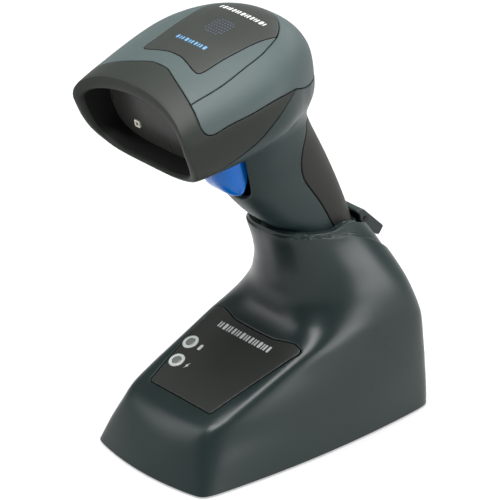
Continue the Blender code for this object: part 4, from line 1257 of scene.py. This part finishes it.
def deck_half(front, back_end, half_front, half_back, dip):
    return ((0.0, front), (half_front - 4.0, front), (half_front - 1.6, front),
            (half_front - 0.35, front + 0.35), (half_front, front + 1.6),
            (half_back - 0.9, back_end - 6.5), (half_back, back_end - 3.0),
            (half_back - 0.25, back_end - 1.4), (half_back - 1.2, back_end - 0.6),
            (half_back - 4.5, back_end - 0.2), (0.45 * half_back, back_end - dip),
            (0.2 * half_back, back_end - dip - 0.25), (0.0, back_end - dip - 0.3))


seat = cradle.line(deck_half(-0.3, 43.2, 18.1, 25.2, 2.8), deck_view, columns=(0.5, 1.0), smooth=False)
seat[0, 1] = seat[-1, 1] = CL
rim_back = cradle.locate(flowing(np.array(RIM_LINE)), side_view, (0.0, 0.97))
rim_back = rim_back[int(np.argmax(rim_back[:, 0] < TOP - 0.5)):]
rim_back = rim_back[(cradle.at(rim_back)[:, 0] > 10.6) | (cradle.at(rim_back)[:, 1] < 30)]
top_start = rim_back[0, 1]
gate_top = cradle.at(rim_back[-1:])[0, 2]
gate = cradle.line(((10.6, gate_top), (10.6, 74.0), (10.6, 69.2), (10.3, 68.5), (9.6, 68.2),
                    (5, 68.2), (0, 68.2)),
                   front_view, columns=(0.0, 0.45), smooth=False)
gate[-1, 1] = 0.0
shell = Half()
patch(shell, cradle, [
    (np.stack([np.zeros(100), np.linspace(0, CL, 100)], 1), False),
    (middle(CL, 0.0, seat[0, 0]), False),
    (seat, True),
    (middle(CL, seat[-1, 0], TOP), False),
    (np.stack([np.full(90, TOP), np.linspace(CL, top_start, 90)], 1), True),
    (cradle.spaced(rim_back, 0.7), True),
    (gate, True),
    (middle(0.0, gate[-1, 0], 0.0), False),
], spacing=1.6, radius=0.45, extra=cradle.crease)
ROUND = np.linspace(0, 2 * math.pi, 40, endpoint=False)
BACK_OPENINGS = (
    (rounded(((7.7, 4.7), (22.3, 4.7), (22.3, 17.3), (7.7, 17.3)), 1.6), 60, 70),
    (np.stack([-15 + 4.6 * np.cos(ROUND), 10.5 + 4.6 * np.sin(ROUND)], axis=1), 60, 70))
finished("cradle_shell_skin", shell, M["cradle"], "cradle", ["cradle_shell"],
         cutters=BACK_OPENINGS)

# the cup follows the handle at a small distance and ends just under the rim
cup_rows = handle.rows[8:]
flat = np.cross(np.gradient(cup_rows, axis=0), np.gradient(cup_rows, axis=1))
flat /= np.maximum(np.linalg.norm(flat, axis=2), 1e-9)[..., None]
flat *= np.sign(flat[40:, cup_rows.shape[1] // 2, 0].mean())
flat[:, [0, -1], 0] = 0
cup_skin = Skin(cup_rows + flat * 1.45, handle.u[8:] - handle.u[8], HL)
cup_line = cup_skin.line([(y, z - 0.35) for y, z in RIM_LINE[:-2]], side_view, smooth=True)
reach = cup_skin.locate(np.array([(4.0, 84.1), (46.5, 78.0)]), side_view)
cup_line = np.vstack([[reach[0, 0], HL], cup_line[(cup_line[:, 1] < HL - 1.5) & (cup_line[:, 1] > 1.5)],
                      [reach[1, 0], 0.0]])
cup = Half()
patch(cup, cup_skin, [
    (middle(HL, 0.0, cup_line[0, 0]), False),
    (cup_skin.spaced(cup_line, 0.8), True),
    (middle(0.0, cup_line[-1, 0], 0.0), False),
    (np.stack([np.zeros(60), np.linspace(0, HL, 60)], 1), False),
], spacing=1.6, radius=0.3, wall=0.95)
edge = cup_skin.rows[0][::4]
edge = np.vstack([edge, cup_skin.rows[0][-1:]])
hub = edge[[0, -1]].mean(0) * (0, 1, 1)
fan = np.array([(i, i + 1, len(edge)) for i in range(len(edge) - 1)])
down = dock_point(-1.0, 0, 0) - dock_point(0.0, 0, 0)
corner_a, corner_b, corner_c = edge[fan[0, 0]], edge[fan[0, 1]], hub
if np.dot(np.cross(corner_b - corner_a, corner_c - corner_a), down) < 0:
    fan = fan[:, ::-1]
floor_half = Half()
floor_half.add(np.vstack([edge, hub[None]]), np.tile(-down * 0.95, (len(edge) + 1, 1)), fan)
finished("docking_cup_skin", cup, M["cradle"], "cradle", ["docking_cup"])
finished("docking_cup_floor", floor_half, M["black"], "cradle", [])

deck_plate = Half()
patch(deck_plate, cradle, [
    (seat, True),
    (middle(CL, seat[-1, 0], seat[0, 0]), False),
], spacing=1.5, radius=0.3, wall=0.8)
finished("cradle_label_skin", deck_plate, M["deck"], "cradle", ["cradle_label_plate"])


LEVER = ((47.6, 76.3), (47.0, 79.9), (45.4, 81.0), (45.7, 82.0), (49.6, 81.4), (60.0, 71.2), (57.5, 67.9),
         (54.6, 69.7), (51.6, 71.5), (49.4, 73.4))


bar_of("latch_lever_skin", LEVER, 9.9, 0.6, 0.6, M["cradle"], "latch", ["latch_lever"],
       rounded(LEVER, 0.9))


# ------------------------------------------------------------------------------------------- prints

def printed(name, skin, seen, across, outlines, material, body, columns, height=0.06):
    """Flat prints on a skin, each from an outline in the view; across says which coordinate is x."""
    points, faces = [], []
    for outline in outlines:
        outline = np.asarray(outline, float)
        closed = np.vstack([outline, outline[:1]])
        dense = evenly(closed, max(int(distances(closed)[-1] / 0.5), 8) + 1)[:-1]
        low, high = dense.min(0), dense.max(0)
        if (high - low).min() > 1.2:
            gu, gv = np.meshgrid(np.arange(low[0], high[0], 0.7), np.arange(low[1], high[1], 0.7))
            grid = np.stack([gu.ravel(), gv.ravel()], axis=1)
            grid = grid[inside(grid, dense)]
        else:
            grid = np.zeros((0, 2))
        everything = np.vstack([dense, grid])
        links = [(i, (i + 1) % len(dense)) for i in range(len(dense))]
        made, _, tris, *_ = delaunay_2d_cdt([Vector(p) for p in everything], links, [], 1, 1e-6)
        flat = np.array([tuple(p) for p in made])
        target = flat.copy()
        sign = np.where(flat[:, across] < 0, -1.0, 1.0)
        target[:, across] = np.abs(target[:, across])
        uv = skin.locate(target, seen, columns)
        place, normal = skin.at(uv), skin.normals(uv)
        place[:, 0] *= sign
        normal[:, 0] *= sign
        start, n = len(points), len(flat)
        points.extend(place + normal * height)
        points.extend(place - normal * 0.05)
        edges = {}
        for t in tris:
            t = [t[i] for i in range(3)]
            a, b, c = (place[i] for i in t)
            if np.dot(np.cross(b - a, c - a), normal[t[0]]) < 0:
                t = t[::-1]
            faces.append([start + i for i in t])
            faces.append([start + n + i for i in t[::-1]])
            for i in range(3):
                edges[(t[i], t[(i + 1) % 3])] = 1
        for a, b in edges:
            if (b, a) not in edges:
                faces.append([start + b, start + a, start + n + a, start + n + b])
    made = object_of(name, points, faces, material, angle=30)
    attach(made, body)
    return made


def bar(a, b, long_side, short_side, lean=0.0, corner=0.25):
    """A small rounded bar centred at (a, b)."""
    turn = np.linspace(0, 2 * math.pi, 20, endpoint=False)
    c, n = np.cos(turn), np.sin(turn)
    x = np.sign(c) * (short_side / 2 - corner) + c * corner
    y = np.sign(n) * (long_side / 2 - corner) + n * corner
    return np.stack([a + x, b + y + lean * x], axis=1)


dots = [np.stack([9.9 + 1.45 * i + 0.34 * np.cos(t), 1.45 * j + 0.34 * np.sin(t)], axis=1)
        for t in [np.linspace(0, 2 * math.pi, 10, endpoint=False)]
        for i in range(-3, 4) for j in range(-3, 4) if i * i + j * j < 14]
printed("speaker_dots", head, plan_of_head, 1, dots, M["dots"], "scanner", (0.0, 0.5))


def bar_row(along, start, stop, height, lean, seed, swapped=False):
    """A row of thin upright bars of several widths, like the bars of a printed code."""
    widths, gaps, bars, at, i = (1.1, 0.6, 0.8, 1.4, 0.6, 0.9), (0.75, 0.6, 0.95), [], start, seed
    while at < stop:
        width = widths[i % len(widths)]
        made = bar(along, at + width / 2, width, height, lean, 0.2)
        bars.append(made[:, ::-1] if swapped else made)
        at += width + gaps[i % len(gaps)]
        i += 1
    return bars


printed("blue_mark", head, plan_of_head, 1, bar_row(-3.0, -9.0, 7.6, 2.0, 0.0, 0), M["mark_blue"], "scanner",
        (0.0, 0.5))
printed("white_mark", head, plan_of_head, 1, bar_row(21.9, -13.0, 12.0, 2.3, 0.0, 2), M["mark"], "scanner",
        (0.0, 0.5))
printed("deck_mark", cradle, deck_view, 0, bar_row(35.6, -15.2, 14.4, 3.0, 0.0, 1, True), M["mark"], "cradle",
        (0.5, 1.0))


# ------------------------------------------------------------------------------ status lights and aimer

def lathe(name, profile, place_of, material, body, nodes, centre, count=56):
    """A round piece from a profile of (radius, height); place_of(a, b, height) gives the points."""
    turn = np.linspace(0, 2 * math.pi, count, endpoint=False)
    rows = [place_of(centre[0] + r * np.cos(turn), centre[1] + r * np.sin(turn), z) for r, z in profile]
    points, faces, n = np.concatenate(rows), [], count
    for i in range(len(rows) - 1):
        for j in range(n):
            k = (j + 1) % n
            faces.append((i * n + j, i * n + k, (i + 1) * n + k, (i + 1) * n + j))
    if profile[0][0] != profile[-1][0] or profile[0][1] != profile[-1][1]:
        faces.append(tuple(range(n))[::-1])
        faces.append(tuple((len(rows) - 1) * n + j for j in range(n)))
    made = object_of(name, points, faces, material, angle=45)
    bmesh_weld(made)
    outward(made)
    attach(made, body)
    if nodes:
        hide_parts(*nodes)
    return made


def bmesh_weld(made):
    work = bmesh.new()
    work.from_mesh(made.data)
    bmesh.ops.remove_doubles(work, verts=work.verts, dist=1e-6)
    work.to_mesh(made.data)
    work.free()


def deck_spot(a, b, height):
    """Points over the deck's label at (x, up)."""
    a, b = np.broadcast_arrays(np.asarray(a, float), np.asarray(b, float))
    uv = cradle.locate(np.stack([np.abs(a), b], axis=1), deck_view, (0.5, 1.0))
    place, normal = cradle.at(uv), cradle.normals(uv)
    sign = np.where(a < 0, -1.0, 1.0)
    place[:, 0] *= sign
    normal[:, 0] *= sign
    return place + normal * height


RING = [(2.05, -0.5), (2.05, 0.22), (2.12, 0.34), (2.25, 0.4), (3.0, 0.4), (3.17, 0.35), (3.27, 0.24),
        (3.3, 0.1), (3.3, -0.5), (2.05, -0.5)]
STATUS = {"charge": (-15.8, 12.8), "power": (-18.3, 22.6)}
LENS = [(2.0, -0.4), (2.0, 0.05), (1.8, 0.17), (1.3, 0.27), (0.7, 0.32), (0.15, 0.34)]
for which, centre in STATUS.items():
    lathe("status_ring_" + which + "_skin", RING, deck_spot, M["light"], "cradle",
          ["status_ring_" + which], centre)
    lathe("status_lens_" + which + "_skin", LENS, deck_spot, M["lens"], "cradle",
          ["status_lens_" + which], centre)

BOLT = ((0.5, 1.7), (-0.8, -0.2), (-0.1, -0.2), (-0.5, -1.7), (0.8, 0.3), (0.1, 0.3))
BATTERY = ((-0.7, -1.5), (0.7, -1.5), (0.7, 1.1), (0.3, 1.1), (0.3, 1.5), (-0.3, 1.5), (-0.3, 1.1), (-0.7, 1.1))
icons = []
for which, shape in (("charge", BOLT), ("power", BATTERY)):
    x, up = STATUS[which]
    icons.append(np.array(shape) + (x + 5.9, up))
printed("status_icons", cradle, deck_view, 0, icons, M["mark"], "cradle", (0.5, 1.0))


# ------------------------------------------------------------------------------------------- camera

LOOK = Vector((0.020657, -0.021844, 0.090))
AZIMUTH, ELEVATION, DISTANCE = math.radians(49.1), math.radians(26.3), 1.5
LEVEL = math.cos(ELEVATION)
back = Vector((math.sin(AZIMUTH) * LEVEL, -math.cos(AZIMUTH) * LEVEL, math.sin(ELEVATION)))
camera = bpy.data.objects.new("camera", bpy.data.cameras.new("camera"))
bpy.context.scene.collection.objects.link(camera)
camera.data.sensor_width, camera.data.lens = 36.0, 291.6
camera.location = LOOK + back * DISTANCE
camera.rotation_mode = "QUATERNION"
camera.rotation_quaternion = (-back).to_track_quat("-Z", "Y")
bpy.context.scene.camera = camera


# ------------------------------------------------------------------------------------ light and floor

def area_light(name, place, size, power, aim=(0.0, 0.0, 0.08)):
    light = bpy.data.lights.new(name, "AREA")
    light.shape = "RECTANGLE"
    light.size, light.size_y = size
    light.energy = power
    made = bpy.data.objects.new(name, light)
    bpy.context.scene.collection.objects.link(made)
    made.location = place
    made.rotation_mode = "QUATERNION"
    made.rotation_quaternion = (Vector(place) - Vector(aim)).to_track_quat("Z", "Y")
    return made


area_light("overhead", (0.05, -0.15, 1.25), (0.9, 0.9), 36.0)
area_light("front_left", (-0.75, -0.85, 0.75), (0.5, 0.8), 5.0)
area_light("right", (1.1, 0.62, 0.42), (0.6, 0.6), 11.0)
area_light("rear", (-0.3, 1.1, 0.9), (0.7, 0.5), 6.0)

world = bpy.data.worlds.new("studio")
world.use_nodes = True
sky, links = world.node_tree.nodes, world.node_tree.links
where = sky.new("ShaderNodeTexCoord")
parts = sky.new("ShaderNodeSeparateXYZ")
fade = sky.new("ShaderNodeMapRange")
fade.inputs["From Min"].default_value = 0.02
fade.inputs["From Max"].default_value = 0.30
fade.inputs["To Min"].default_value = 0.9
fade.inputs["To Max"].default_value = 0.16
links.new(where.outputs["Generated"], parts.inputs["Vector"])
links.new(parts.outputs["Z"], fade.inputs["Value"])
links.new(fade.outputs["Result"], sky["Background"].inputs["Strength"])
sky["Background"].inputs["Color"].default_value = (1.0, 1.0, 1.0, 1.0)
bpy.context.scene.world = world
bpy.context.scene.view_settings.view_transform = "Standard"

mesh = bpy.data.meshes.new("floor")
turn = np.linspace(0, 2 * math.pi, 96, endpoint=False)
mesh.from_pydata([(2.5 * math.cos(t), 2.5 * math.sin(t), -0.0002) for t in turn], [], [tuple(range(96))])
floor = bpy.data.objects.new("floor", mesh)
bpy.context.scene.collection.objects.link(floor)
floor_paint = bpy.data.materials.new("floor_paint")
floor_paint.use_nodes = True
floor_paint.node_tree.nodes["Principled BSDF"].inputs["Base Color"].default_value = (0.32, 0.32, 0.32, 1)
floor_paint.node_tree.nodes["Principled BSDF"].inputs["Emission Color"].default_value = (1, 1, 1, 1)
floor_paint.node_tree.nodes["Principled BSDF"].inputs["Emission Strength"].default_value = 0.45
floor_paint.node_tree.nodes["Principled BSDF"].inputs["Roughness"].default_value = 0.9
mesh.materials.append(floor_paint)
